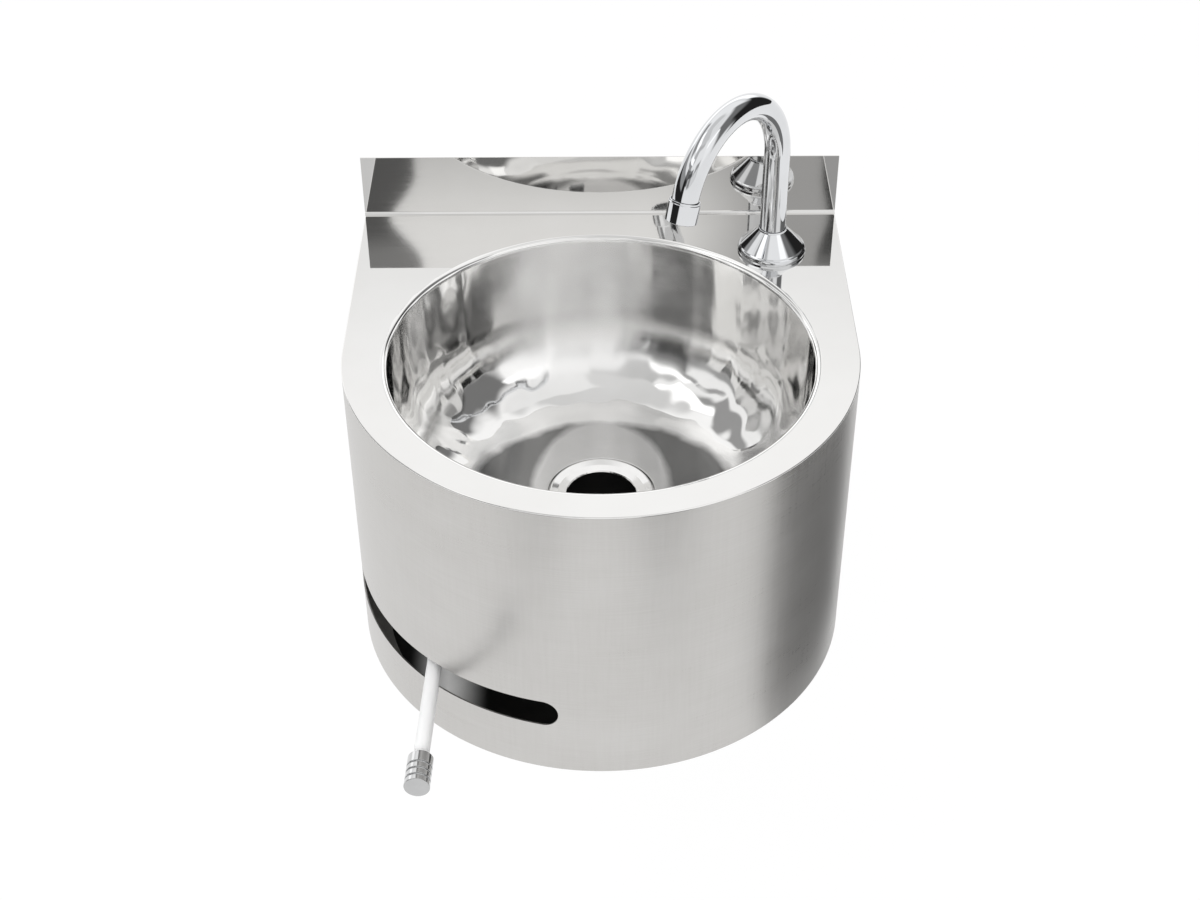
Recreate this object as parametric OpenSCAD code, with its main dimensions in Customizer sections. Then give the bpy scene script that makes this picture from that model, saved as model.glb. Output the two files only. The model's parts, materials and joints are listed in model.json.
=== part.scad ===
/* [Overall] */
// Width across the apron
sink_w = 400; // [370:5:480]
// Depth from the wall to the front of the apron
sink_d = 398; // [390:1:460]
// Height of the apron, deck included
apron_h = 260; // [245:5:320]
// Height of the splashback above the deck
splash_h = 55; // [30:5:150]
// Thickness of the stainless sheet
sheet_t = 1.2; // [0.9:0.1:2]
// Inside radius of the fold between deck and splashback
fold_r = 2.5; // [1:0.5:6]

/* [Bowl] */
// Deck left between the bowl and the wall
back_land = 34; // [30:1:45]
// Least deck left between the bowl and the front
front_land = 24; // [20:1:50]
// Least deck left between the bowl and each side
side_land = 30; // [27:1:50]
// Radius of the rolled rim
rim_roll_r = 5; // [3:0.5:8]
// Depth of the bowl where its floor meets the waste seat
bowl_depth = 140; // [125:1:150]
// Radius between the wall and the floor of the bowl
bowl_corner_r = 66; // [40:1:80]
// Inward lean of the bowl wall over its height
bowl_draft = 0; // [0:0.5:6]
// Fall of the floor from its edge to the waste
floor_fall = 2.5; // [1:0.5:10]

/* [Waste] */
// Radius of the waste flange
waste_flange_r = 42; // [39:0.5:45]
// Height of the waste flange above its seat
waste_flange_t = 4; // [3:0.5:6]
// Radius of the open bore of the waste
waste_bore_r = 28.3; // [26:0.1:28.5]
// Radius over the thread of the waste tail
waste_tail_r = 29.8; // [29.5:0.1:31]
// Length of the tail below the waste seat
waste_tail_l = 60; // [45:1:75]
// Thickness of the waste backnut
waste_nut_t = 10; // [7:1:14]

/* [Spout] */
// Distance of the spout from the right side
spout_from_side = 58; // [50:1:62]
// Distance of the spout from the wall
spout_from_wall = 58; // [54:1:62]
// Turn of the spout towards the left, measured from straight ahead
spout_turn = 37.8; // [20:0.1:60]
// Outer radius of the spout tube
spout_r = 10.6; // [10:0.1:11]
// Wall of the spout tube
spout_wall = 1.5; // [1:0.1:1.8]
// Height above the deck where the spout starts to bend
spout_rise = 90; // [70:1:160]
// Centreline radius of the spout bend
spout_bend_r = 65; // [50:1:80]
// Angle through which the spout is bent
spout_bend = 163; // [150:1:175]
// Outer radius of the cone cover at the deck
cone_r = 28; // [25:0.5:30]
// Height of the cone cover
cone_h = 22; // [19:0.5:26]
// Height of the upright band at the foot of the cone cover
cone_band_h = 6; // [3:0.5:8]
// Swing of the spout to each side of its rest
spout_swing = 38; // [10:1:45]
// Outer radius of the aerator collar
collar_r = 12.4; // [12.2:0.1:14]
// Length of the aerator collar
collar_l = 17; // [15:0.5:20]

/* [Lever slot] */
// Height of the slot in the apron
slot_h = 25; // [20:1:30]
// Depth of the slot centre below the foot of the bowl
slot_below = 60.5; // [58:0.5:63]
// Angle from straight ahead to the right end of the slot
slot_near = 9.7; // [5:0.1:14]
// Angle from straight ahead to the left end of the slot
slot_far = 82; // [78:0.5:86]

/* [Lever] */
// Distance of the lever axis from the left side
valve_from_side = 80.5; // [78:0.5:84]
// Turn of the lever to the left of straight ahead
lever_turn = 2.3; // [0:0.1:4]
// How far the knob stands out in front of the apron
lever_out = 68; // [60:1:90]
// Radius of the white sleeve
sleeve_r = 6; // [5:0.25:7]
// Radius of the steel core rod
core_r = 4; // [3.5:0.25:4.5]
// Radius of the knob
knob_r = 9.8; // [9:0.1:12]
// Length of the knob
knob_l = 28; // [26:1:34]
// Length of the plain band of the knob
knob_band_l = 9.4; // [8:0.2:11]
// Number of grooves in the knob
knob_grooves = 3; // [1:1:3]
// Radius of the lever hub
hub_r = 14; // [13:0.5:16]
// Height of the lever hub
hub_h = 18; // [17:0.5:19]

/* [Valve] */
// Width of the valve body
valve_w = 82; // [80:1:88]
// Height of the valve body
valve_h = 36; // [35:0.5:38]
// Radius of the cartridge bore
cartridge_r = 13; // [12.5:0.1:13.5]
// Radius of the valve spindle
spindle_r = 5; // [4.5:0.1:5.5]
// Radius over the thread of each water inlet
inlet_r = 10.48; // [10:0.01:11]
// Distance of each inlet from the lever axis
inlet_dx = 30; // [29:0.5:31]
// Outer radius of the pipe from the valve to the spout
pipe_r = 6.35; // [6:0.05:6.4]
// Wall of that pipe
pipe_wall = 0.9; // [0.7:0.1:1.2]
// Centreline bend radius of that pipe
pipe_bend_r = 30; // [20:1:40]

/* [Wall fixing] */
// Height of the deck above the centre of the wall fixings
fixing_drop = 90; // [84:1:95]
// Width of the wall bracket
bracket_w = 300; // [280:5:330]
// Height of the wall bracket
bracket_h = 70; // [62:1:72]
// Thickness of the wall bracket
bracket_t = 2.5; // [2:0.25:3]
// Distance between the wall fixings across
fixing_dx = 240; // [200:5:250]
// Distance between the wall fixings up and down
fixing_dz = 40; // [36:1:44]
// Radius of the wall fixing holes
fixing_hole_r = 4.5; // [3.5:0.25:5.5]
// Thickness of the hanger rail
rail_t = 2; // [1.5:0.25:2.5]

/* [Base] */
// Radius of the opening in the base panel for the trap
trap_hole_r = 60; // [50:1:75]
// Width of the inward flange at the foot of the apron
base_flange_w = 18; // [15:1:25]
// Distance of the side panel screws behind the start of the front arc
panel_last = 48; // [20:1:60]

/* [Hidden] */
$fn = 96;

// Clearances and overruns
cut = 1;
fit_gap = 0.05;
part_gap = 0.3;
slot_ease = 0.02;
thread_gap = 0.1;

// Plan of the sink
front_r = sink_w / 2;
arc_y = sink_d - front_r;
return_w = 20;
rim_r = min(front_r - side_land, (sink_d - front_land - back_land) / 2);
bowl_from_wall = back_land + rim_r;
slot_drop = bowl_depth + slot_below;
spout_x = front_r - spout_from_side;
valve_x = front_r - valve_from_side;

// Splashback and hanger
hook_d = 14;
hook_rise = 12;
hook_gap = 0.5;
web_gap = 1;
rail_d = 26.5;
lock_lip_d = 20;
lock_gap = 10;
lock_x_share = 0.67;
lock_y = 14;
lock_r = 2.9;
lock_head_af = 10;
lock_head_t = 4;
lock_nut_t = 5;
rail_lip_y = hook_d - bracket_t - hook_gap;
rail_top = bracket_h / 2 + hook_rise + web_gap + rail_t;
rail_foot = -bracket_h / 2 - lock_gap - rail_t;

// Bowl section, measured from the deck
wall_top_r = rim_r - rim_roll_r;
wall_foot_r = wall_top_r - bowl_draft;
floor_r = wall_foot_r - bowl_corner_r;
floor_edge = bowl_depth - floor_fall;
wall_foot = floor_edge - bowl_corner_r;
seat_margin = 1.5;
seat_drop = 3;
seat_r = waste_flange_r + seat_margin;
seat_depth = bowl_depth + seat_drop;
waste_hole_gap = 1.2;
arc_steps = 18;
waste_hole_r = waste_tail_r + waste_hole_gap;

// Waste fitting
waste_seal_t = 1;
waste_lip_w = 1.5;
waste_edge = 0.8;
waste_ring_in = 6.5;
waste_ring_z_share = 0.8;
waste_mouth_z_share = 0.5;
waste_mouth = 0.5;
low_seal_t = 4;
slip_t = 1.5;
seal_ring_w = 12;
waste_nut_w = 9.5;
nut_lugs = 8;
lug_w = 8;
lug_d = 3;
relief_gap = 1;
relief_w = 2;
relief_d = 0.8;
relief_top = sheet_t + low_seal_t + slip_t + waste_nut_t + relief_gap;
relief_foot = relief_top + relief_w;

// Spout
shoulder_r = 14;
shoulder_h = 7;
gasket_t = 1;
glide_t = 1;
spigot_h = 37;
shank_drop = 62;
shank_r = 10.48;
shank_bore_r = 6;
shank_hole_gap = 0.52;
deck_hole_r = shank_r + shank_hole_gap;
clamp_gasket_t = 2.5;
clamp_gasket_w = 5.5;
clamp_washer_t = 1.5;
spout_nut_af = 30;
spout_nut_t = 9;
ring_groove_w = 2.4;
ring_groove_d = 1.2;
ring_first = 14;
ring_step = 8;
keeper_z = 6;
keeper_r = 1.8;
keeper_groove_w = 4.2;
keeper_groove_d = 1.1;
keeper_proud = 0.4;
cone_wall = 1.5;
cone_neck_h = 2;
cone_neck_w = 1.3;
cone_edge = 0.8;
nose_l = 8;
nose_thread = 0.4;
nose_seat = 0.3;
nose_step = 0.2;
aerator_washer_t = 1.5;
aerator_washer_w = 2.6;
collar_lip_t = 1;
collar_lip_w = 1.3;
collar_notches = 16;
notch_w = 1.2;
notch_d = 0.7;
insert_gap = 0.15;
insert_floor_t = 2;
insert_rim = 1.4;
jet_r = 0.7;
jet_rings = 3;
jets_per_ring = 6;
spout_bore_r = spout_r - spout_wall;
tube_foot = gasket_t + shoulder_h + glide_t;
nose_x = spout_bend_r * (1 - cos(spout_bend));
nose_z = spout_rise + spout_bend_r * sin(spout_bend);

// Valve
outlet_dy = 7;
inlet_dy = 4;
valve_front = 16;
valve_back = 16;
valve_from_wall = spout_from_wall - outlet_dy;
bore_drop = 9;
inlet_bore_r = 3.5;
outlet_bore_r = 4;
port_dx = 6;
port_r = 2.8;
cartridge_roof = 16;
disc_t = 3;
disc_gap = 0.1;
moving_disc_gap = 0.6;
spindle_flange_t = 3;
spindle_flange_gap = 1;
bonnet_gap = 0.1;
bonnet_af = 30;
bonnet_hex_t = 5;
snout_r = 8;
snout_h = 7.5;
hub_gap = 1;
spindle_ring_w = 2;
spindle_ring_d = 1.1;
spindle_ring_first = 3;
spindle_ring_step = 4;
hub_screw_r = 2.4;
hub_screw_head_r = 5.5;
hub_screw_head_t = 3.5;
hub_screw_l = 10;
boss_r = 8;
boss_out = 22;
socket_depth = 6;
sleeve_gap = 0.05;
grub_r = 2.5;
knob_seat = 14;
groove_w = 1.2;
groove_d = 1;
knob_edge = 0.5;
cartridge_drop = valve_h - cartridge_roof;
bonnet_top = cartridge_roof + 2 * disc_t + spindle_flange_t + bonnet_gap;
hub_top = valve_h + bonnet_hex_t + snout_h + hub_gap;
spindle_foot = hub_top + hub_h - part_gap;
valve_top = hub_top + hub_h / 2 - slot_drop;
spring_wire_r = 0.7;
spring_turns = 3;
spring_pitch = 2.2;
spring_r = 11;
spring_steps = 24;
spring_sides = 6;
spring_rest = 0.1;

// Water connections
tail_spigot_r = 8;
tail_spigot_l = 10;
tail_hex_af = 24;
tail_hex_t = 4;
tail_thread_l = 13;
tail_bore_r = 6;
tail_seal_t = 1;
filter_t = 1.5;
filter_rim = 1;
filter_hole_r = 0.9;
filter_holes = 6;
filter_ring_share = 0.55;
adaptor_r = 6;
adaptor_depth = 8;
adaptor_af = 19;
adaptor_hex_t = 4;
adaptor_thread_r = 8;
adaptor_thread_l = 9;
adaptor_bore_r = 4.5;
pipe_socket_l = 5;
olive_t = 1.2;
olive_l = 5;
valve_nut_af = 22;
valve_nut_l = 15;
valve_nut_floor = 3;
spout_pipe_nut_af = 27;
spout_pipe_nut_l = 16;
spout_pipe_nut_floor = 3;
shank_socket_l = 8;

// Valve bracket and its screws
bracket_plate_t = 3;
bracket_leg_h = 42;
valve_screw_dx = 14;
valve_screw_dy = 13;
valve_screw_r = 2.45;
valve_screw_l = 8;
valve_screw_head_r = 4.25;
valve_screw_head_t = 5;
socket_af = 4;
socket_d = 2.5;

// Base panel
panel_inset = 6;
panel_screw_r = 1.9;
panel_head_r = 3.8;
panel_head_t = 2.2;
panel_screw_l = 6;
panel_first = 40;
panel_arc_angles = [-50, 0, 50];

// Colours
steel = "gainsboro";
bright = "whitesmoke";
brass = "goldenrod";
rubber = "dimgray";

// Places

// Heights inside are measured from the top face of the deck
module from_deck() translate([0, 0, fixing_drop]) children();

module at_bowl() from_deck() translate([0, -bowl_from_wall, 0]) children();

module at_waste() at_bowl() translate([0, 0, -seat_depth]) children();

module at_spout() from_deck() translate([spout_x, -spout_from_wall, 0]) children();

// Along the spout, x points from the stem towards the nose
module along_spout() at_spout() rotate([0, 0, -90 - spout_turn]) children();

// At the nose, z points the way the water leaves
module at_nose() along_spout() translate([nose_x, 0, nose_z]) rotate([0, spout_bend, 0]) children();

// At the valve, z is zero on top of the body
module at_valve() from_deck() translate([-valve_x, -valve_from_wall, valve_top]) children();

// Along the lever, x points from the hub towards the knob
module along_lever()
    at_valve() translate([0, 0, -hub_top - hub_h / 2]) rotate([0, 0, -90 - lever_turn]) children();

// Shapes

module block(low, high) translate(low) cube(high - low);

module ring(r_out, r_in, h) difference() {
    cylinder(r = r_out, h = h);
    translate([0, 0, -cut]) cylinder(r = r_in, h = h + 2 * cut);
}

module hex(af, h) cylinder(r = af / sqrt(3), h = h, $fn = 6);

module hex_ring(af, r_in, h) difference() {
    hex(af, h);
    translate([0, 0, -cut]) cylinder(r = r_in, h = h + 2 * cut);
}

// Plan of the sink, drawn in by inset and reaching past the wall line by back
module plan(inset = 0, back = 0) intersection() {
    union() {
        translate([0, -arc_y]) circle(r = front_r - inset);
        translate([-front_r + inset, -arc_y]) square([sink_w - 2 * inset, arc_y + back]);
    }
    translate([-sink_w, -2 * sink_d]) square([2 * sink_w, 2 * sink_d + back]);
}

module turned(r, a) rotate([0, 0, a]) translate([0, -r, 0]) children();

// Deck, splashback and apron

module fold() {
    mid = [-fold_r - sheet_t, fold_r];
    rotate([90, 0, 90]) linear_extrude(sink_w, center = true) intersection() {
        difference() {
            translate(mid) circle(r = fold_r + sheet_t);
            translate(mid) circle(r = fold_r);
        }
        translate([mid[0], -sheet_t]) square(fold_r + sheet_t);
    }
}

module deck_splashback() color(steel) from_deck() {
    difference() {
        translate([0, 0, -sheet_t]) linear_extrude(sheet_t) plan();
        block([-sink_w, -fold_r - sheet_t, -sheet_t - cut], [sink_w, cut, cut]);
        translate([0, -bowl_from_wall, -sheet_t - cut]) cylinder(r = rim_r, h = sheet_t + 2 * cut);
        translate([spout_x, -spout_from_wall, -sheet_t - cut])
            cylinder(r = deck_hole_r, h = sheet_t + 2 * cut);
    }
    fold();
    block([-front_r, -sheet_t, fold_r], [front_r, 0, splash_h]);
}

// Points along an arc, from one angle to the other
function arc_points(centre, r, from, to) =
    [for (k = [0 : arc_steps]) let (a = from + (to - from) * k / arc_steps) centre + r * [cos(a), sin(a)]];

// Half section of one face of the bowl, from the rim down to the waste, moved outwards by grow
function bowl_face(grow = 0) = concat(
    arc_points([rim_r, -rim_roll_r], rim_roll_r - grow, 90, 180),
    arc_points([floor_r, -wall_foot], bowl_corner_r + grow, 0, -90),
    [[seat_r + grow, -bowl_depth - grow], [seat_r + grow, -seat_depth - grow], [waste_hole_r, -seat_depth - grow]]);

module bowl() color(bright) at_bowl() rotate_extrude($fn = 180) {
    inner = bowl_face();
    outer = bowl_face(sheet_t);
    polygon(concat(inner, [for (k = [len(outer) - 1 : -1 : 0]) outer[k]]));
}

// The slot follows the front arc and ends in half rounds
module slot_cut() {
    end_inset = asin(slot_h / 2 / front_r);
    translate([0, -arc_y, -slot_drop]) {
        rotate([0, 0, -90 - slot_far + end_inset]) rotate_extrude(angle = slot_far - slot_near - 2 * end_inset)
            translate([front_r - sheet_t - cut, -slot_h / 2]) square([sheet_t + 2 * cut, slot_h]);
        for (a = [slot_near + end_inset, slot_far - end_inset])
            turned(front_r + cut, -a) rotate([-90, 0, 0])
                cylinder(r = slot_h / 2 - slot_ease, h = 2 * cut + sheet_t);
    }
}

module panel_screw_places() {
    r = front_r - sheet_t - base_flange_w / 2;
    for (a = panel_arc_angles) translate([0, -arc_y, 0]) turned(r, a) children();
    for (side = [-1, 1])
        for (y = [panel_first, arc_y - panel_last]) translate([side * r, -y, 0]) children();
}

module apron() color(steel) from_deck() difference() {
    union() {
        translate([0, 0, -apron_h]) linear_extrude(apron_h - sheet_t) difference() {
            plan();
            plan(sheet_t, cut);
        }
        translate([0, 0, -apron_h]) linear_extrude(sheet_t) difference() {
            plan();
            plan(sheet_t + base_flange_w, cut);
        }
        for (side = [-1, 1])
            translate([side * (front_r - return_w / 2), -sheet_t / 2, -(apron_h + sheet_t) / 2])
                cube([return_w, sheet_t, apron_h - sheet_t], center = true);
    }
    slot_cut();
    translate([0, 0, -apron_h - cut]) panel_screw_places() cylinder(r = panel_screw_r, h = sheet_t + 2 * cut);
}

module base_panel() color(steel) from_deck() translate([0, 0, -apron_h - sheet_t]) difference() {
    linear_extrude(sheet_t) intersection() {
        plan(panel_inset);
        translate([-sink_w, -2 * sink_d]) square([2 * sink_w, 2 * sink_d - panel_inset]);
    }
    translate([0, -bowl_from_wall, -cut]) cylinder(r = trap_hole_r, h = sheet_t + 2 * cut);
    translate([0, 0, -cut]) panel_screw_places() cylinder(r = panel_screw_r, h = sheet_t + 2 * cut);
}

module panel_screws() color(bright) from_deck() translate([0, 0, -apron_h - sheet_t])
    panel_screw_places() {
        translate([0, 0, -panel_head_t]) cylinder(r = panel_head_r, h = panel_head_t);
        cylinder(r = panel_screw_r - fit_gap, h = panel_screw_l);
    }

// Hanger rail, wall bracket and their locking screws, measured from the fixing centre

module lock_places() for (side = [-1, 1]) translate([side * bracket_w / 2 * lock_x_share, -lock_y, 0]) children();

module hanger_rail() color(steel) {
    half = front_r - sheet_t;
    lip_foot = bracket_h / 2;
    difference() {
        union() {
            block([-half, -rail_lip_y, lip_foot], [half, -rail_lip_y + rail_t, rail_top]);
            block([-half, -rail_d, rail_top - rail_t], [half, -rail_lip_y + rail_t, rail_top]);
            block([-half, -rail_d, rail_foot], [half, -rail_d + rail_t, rail_top]);
            block([-half, -rail_d, rail_foot], [half, -bracket_t, rail_foot + rail_t]);
        }
        lock_places() translate([0, 0, rail_foot - cut]) cylinder(r = lock_r + part_gap, h = rail_t + 2 * cut);
    }
}

module wall_bracket() color(steel) {
    half_w = bracket_w / 2;
    half_h = bracket_h / 2;
    difference() {
        union() {
            block([-half_w, -bracket_t, -half_h], [half_w, 0, half_h]);
            block([-half_w, -hook_d, half_h - bracket_t], [half_w, 0, half_h]);
            block([-half_w, -hook_d, half_h - bracket_t], [half_w, -hook_d + bracket_t, half_h + hook_rise]);
            block([-half_w, -lock_lip_d, -half_h], [half_w, 0, -half_h + bracket_t]);
        }
        for (x = [-1, 1], z = [-1, 1])
            translate([x * fixing_dx / 2, cut, z * fixing_dz / 2])
                rotate([90, 0, 0]) cylinder(r = fixing_hole_r, h = bracket_t + 2 * cut);
        lock_places() translate([0, 0, -half_h - cut]) cylinder(r = lock_r + part_gap, h = bracket_t + 2 * cut);
    }
}

module lock_screws() color(bright) lock_places() translate([0, 0, rail_foot]) {
    translate([0, 0, -lock_head_t]) hex(lock_head_af, lock_head_t);
    cylinder(r = lock_r, h = rail_t + lock_gap + bracket_t + lock_nut_t);
}

module lock_nuts() color(bright) lock_places() translate([0, 0, -bracket_h / 2 + bracket_t])
    hex_ring(lock_head_af, lock_r + fit_gap, lock_nut_t);

// Waste fitting, measured from its seat in the bowl

module waste_body() color(bright) at_waste() rotate_extrude()
    polygon([[waste_bore_r, -waste_tail_l], [waste_tail_r, -waste_tail_l], [waste_tail_r, -relief_foot],
        [waste_tail_r - relief_d, -relief_foot], [waste_tail_r - relief_d, -relief_top],
        [waste_tail_r, -relief_top], [waste_tail_r, waste_seal_t],
        [waste_flange_r - waste_lip_w, waste_seal_t], [waste_flange_r - waste_lip_w, 0],
        [waste_flange_r, 0], [waste_flange_r, waste_flange_t - waste_edge],
        [waste_flange_r - waste_edge, waste_flange_t],
        [waste_flange_r - waste_ring_in, waste_flange_t * waste_ring_z_share],
        [waste_bore_r + waste_mouth, waste_flange_t * waste_mouth_z_share],
        [waste_bore_r, waste_flange_t * waste_mouth_z_share - waste_mouth]]);

module waste_top_seal() color(rubber) at_waste()
    ring(waste_flange_r - waste_lip_w - part_gap, waste_tail_r + fit_gap, waste_seal_t);

module under_floor(drop) at_waste() translate([0, 0, -sheet_t - drop]) children();

module waste_lower_seal() color(rubber) under_floor(low_seal_t)
    ring(waste_tail_r + seal_ring_w, waste_tail_r + fit_gap, low_seal_t);

module waste_slip_washer() color("ivory") under_floor(low_seal_t + slip_t)
    ring(waste_tail_r + seal_ring_w, waste_tail_r + fit_gap, slip_t);

module waste_backnut() color(brass) under_floor(low_seal_t + slip_t + waste_nut_t) difference() {
    ring(waste_tail_r + waste_nut_w, waste_tail_r + fit_gap, waste_nut_t);
    for (k = [0 : nut_lugs - 1]) rotate([0, 0, k * 360 / nut_lugs])
        translate([waste_tail_r + waste_nut_w - lug_d, -lug_w / 2, -cut])
            cube([lug_d + cut, lug_w, waste_nut_t + 2 * cut]);
}

// Spout, measured from the deck

module spout_tube() color("silver") along_spout() {
    difference() {
        translate([0, 0, tube_foot]) ring(spout_r, spout_bore_r, spout_rise - tube_foot);
        translate([0, 0, tube_foot + keeper_z]) rotate([0, -90, 0]) cylinder(r = keeper_r, h = 2 * spout_r);
    }
    translate([spout_bend_r, 0, spout_rise]) rotate([-90, 0, 0]) rotate([0, 0, 180])
        rotate_extrude(angle = spout_bend, $fn = 60) translate([spout_bend_r, 0]) difference() {
            circle(r = spout_r);
            circle(r = spout_bore_r);
        }
    translate([nose_x, 0, nose_z]) rotate([0, spout_bend, 0]) translate([0, 0, -nose_seat])
        ring(spout_r + nose_thread, spout_bore_r + nose_step, nose_l + nose_seat);
}

module spout_keeper_screw() color(bright) along_spout() translate([0, 0, tube_foot + keeper_z]) rotate([0, -90, 0])
    translate([0, 0, spout_bore_r - fit_gap - keeper_groove_d + thread_gap])
        cylinder(r = keeper_r - fit_gap, h = spout_wall + keeper_groove_d + keeper_proud);

module ring_levels() for (k = [0, 1]) translate([0, 0, tube_foot + ring_first + k * ring_step]) children();

module spout_shank() color(brass) at_spout() {
    spigot_r = spout_bore_r - fit_gap;
    stop_angle = spout_swing + asin(keeper_r / (spigot_r - keeper_groove_d));
    difference() {
        union() {
            translate([0, 0, -shank_drop]) cylinder(r = shank_r, h = shank_drop + gasket_t + cut);
            translate([0, 0, gasket_t]) cylinder(r = shoulder_r, h = shoulder_h);
            translate([0, 0, gasket_t]) cylinder(r = spigot_r, h = shoulder_h + spigot_h);
        }
        translate([0, 0, -shank_drop - cut]) cylinder(r = shank_bore_r, h = shank_drop + 2 * spigot_h);
        translate([0, 0, -shank_drop - cut]) cylinder(r = pipe_r + thread_gap, h = shank_socket_l + cut);
        ring_levels() ring(spout_r, spigot_r - ring_groove_d, ring_groove_w);
        translate([0, 0, tube_foot + keeper_z - keeper_groove_w / 2])
            rotate([0, 0, 90 - spout_turn - stop_angle]) rotate_extrude(angle = 2 * stop_angle)
                translate([spigot_r - keeper_groove_d, 0]) square([keeper_groove_d + cut, keeper_groove_w]);
    }
}

module spout_orings() color(rubber) at_spout() ring_levels() translate([0, 0, fit_gap])
    ring(spout_bore_r - fit_gap, spout_bore_r - fit_gap - ring_groove_d, ring_groove_w - 2 * fit_gap);

module spout_glide_ring() color("ivory") at_spout() translate([0, 0, gasket_t + shoulder_h])
    ring(spout_r, spout_bore_r, glide_t - fit_gap);

module spout_cone() color("silver") at_spout() rotate_extrude() {
    neck_r = spout_r + part_gap;
    top = cone_h - cone_neck_h;
    polygon([[cone_r - cone_wall, 0], [cone_r, 0], [cone_r, cone_band_h - cone_edge],
        [cone_r - cone_edge, cone_band_h], [neck_r + cone_neck_w, top], [neck_r + cone_neck_w, cone_h],
        [neck_r, cone_h], [neck_r, top - cone_wall], [cone_r - cone_edge - cone_wall, cone_band_h - cone_wall],
        [cone_r - cone_wall, cone_band_h - cone_edge - cone_wall]]);
}

module shank_gasket() color(rubber) at_spout() ring(shoulder_r, shank_r + fit_gap, gasket_t);

module under_deck(drop) at_spout() translate([0, 0, -sheet_t - drop]) children();

module clamp_gasket() color(rubber) under_deck(clamp_gasket_t)
    ring(shank_r + clamp_gasket_w, shank_r + fit_gap, clamp_gasket_t);

module clamp_washer() color(bright) under_deck(clamp_gasket_t + clamp_washer_t)
    ring(shank_r + clamp_gasket_w, shank_r + fit_gap, clamp_washer_t);

module spout_backnut() color(brass) under_deck(clamp_gasket_t + clamp_washer_t + spout_nut_t)
    hex_ring(spout_nut_af, shank_r + fit_gap, spout_nut_t);

// Aerator, measured from the end of the spout bend

module aerator_collar() color("silver") at_nose() difference() {
    translate([0, 0, -nose_seat]) cylinder(r = collar_r, h = collar_l + nose_seat);
    translate([0, 0, -cut]) cylinder(r = spout_r + nose_thread + fit_gap, h = collar_l - collar_lip_t + cut);
    cylinder(r = spout_r + nose_thread - collar_lip_w, h = collar_l + cut);
    for (k = [0 : collar_notches - 1]) rotate([0, 0, k * 360 / collar_notches])
        translate([spout_r, -notch_w / 2, collar_l - notch_d]) cube([collar_r, notch_w, notch_d + cut]);
}

module aerator_insert() color("gray") at_nose() translate([0, 0, nose_l + aerator_washer_t]) {
    insert_r = spout_r + nose_thread - insert_gap;
    insert_l = collar_l - collar_lip_t - nose_l - aerator_washer_t;
    difference() {
        cylinder(r = insert_r, h = insert_l);
        translate([0, 0, -cut]) cylinder(r = insert_r - insert_rim, h = insert_l - insert_floor_t + cut);
        for (k = [1 : jet_rings], j = [1 : jets_per_ring * k]) rotate([0, 0, j * 360 / (jets_per_ring * k)])
            translate([k * (insert_r - insert_rim) / (jet_rings + 1), 0, 0]) cylinder(r = jet_r, h = insert_l + cut, $fn = 16);
    }
}

module aerator_washer() color(rubber) at_nose() translate([0, 0, nose_l])
    ring(spout_r + nose_thread - insert_gap, spout_r + nose_thread - aerator_washer_w, aerator_washer_t);

// Pipe from the valve to the spout, in the upright plane through the spout stem

pipe_x = -valve_x + valve_w / 2 + adaptor_hex_t + adaptor_thread_l;
pipe_z = valve_top - bore_drop;

module pipe_run(r, over) {
    start = pipe_x - pipe_socket_l - over;
    turn_x = spout_x - pipe_bend_r;
    translate([start, 0, pipe_z]) rotate([0, 90, 0]) cylinder(r = r, h = turn_x - start);
    translate([turn_x, 0, pipe_z + pipe_bend_r]) rotate([90, 0, 0]) rotate([0, 0, -90])
        rotate_extrude(angle = 90) translate([pipe_bend_r, 0]) circle(r = r);
    translate([spout_x, 0, pipe_z + pipe_bend_r])
        cylinder(r = r, h = -shank_drop + shank_socket_l + over - pipe_z - pipe_bend_r);
}

module outlet_pipe() color("peru") from_deck() translate([0, -spout_from_wall, 0]) difference() {
    pipe_run(pipe_r, 0);
    pipe_run(pipe_r - pipe_wall, cut);
}

// Along the pipe at the valve, z points away from the valve face
module at_outlet() from_deck() translate([-valve_x + valve_w / 2, -spout_from_wall, pipe_z]) rotate([0, 90, 0]) children();

module outlet_adaptor() color(brass) at_outlet() difference() {
    union() {
        translate([0, 0, -adaptor_depth]) cylinder(r = adaptor_r - fit_gap, h = adaptor_depth + cut);
        hex(adaptor_af, adaptor_hex_t);
        cylinder(r = adaptor_thread_r, h = adaptor_hex_t + adaptor_thread_l);
    }
    translate([0, 0, -adaptor_depth - cut])
        cylinder(r = adaptor_bore_r, h = adaptor_depth + adaptor_hex_t + adaptor_thread_l + 2 * cut);
    translate([0, 0, adaptor_hex_t + adaptor_thread_l - pipe_socket_l])
        cylinder(r = pipe_r + fit_gap, h = pipe_socket_l + cut);
}

module olive() ring(pipe_r + fit_gap + olive_t, pipe_r + fit_gap, olive_l);

// A compression nut: thread bore, room for the olive, and a floor round the pipe
module pipe_nut(af, thread_r, l, floor_t) difference() {
    hex(af, l);
    translate([0, 0, -cut]) cylinder(r = thread_r + fit_gap, h = l - floor_t + cut);
    cylinder(r = pipe_r + thread_gap, h = l + cut);
}

module valve_pipe_nut() color(brass) at_outlet()
    translate([0, 0, adaptor_hex_t + adaptor_thread_l + olive_l + valve_nut_floor - valve_nut_l])
        pipe_nut(valve_nut_af, adaptor_thread_r, valve_nut_l, valve_nut_floor);

module at_shank_foot() at_spout() translate([0, 0, -shank_drop]) rotate([180, 0, 0]) children();

module spout_pipe_nut() color(brass) at_shank_foot()
    translate([0, 0, olive_l + spout_pipe_nut_floor - spout_pipe_nut_l])
        pipe_nut(spout_pipe_nut_af, shank_r, spout_pipe_nut_l, spout_pipe_nut_floor);

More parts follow.
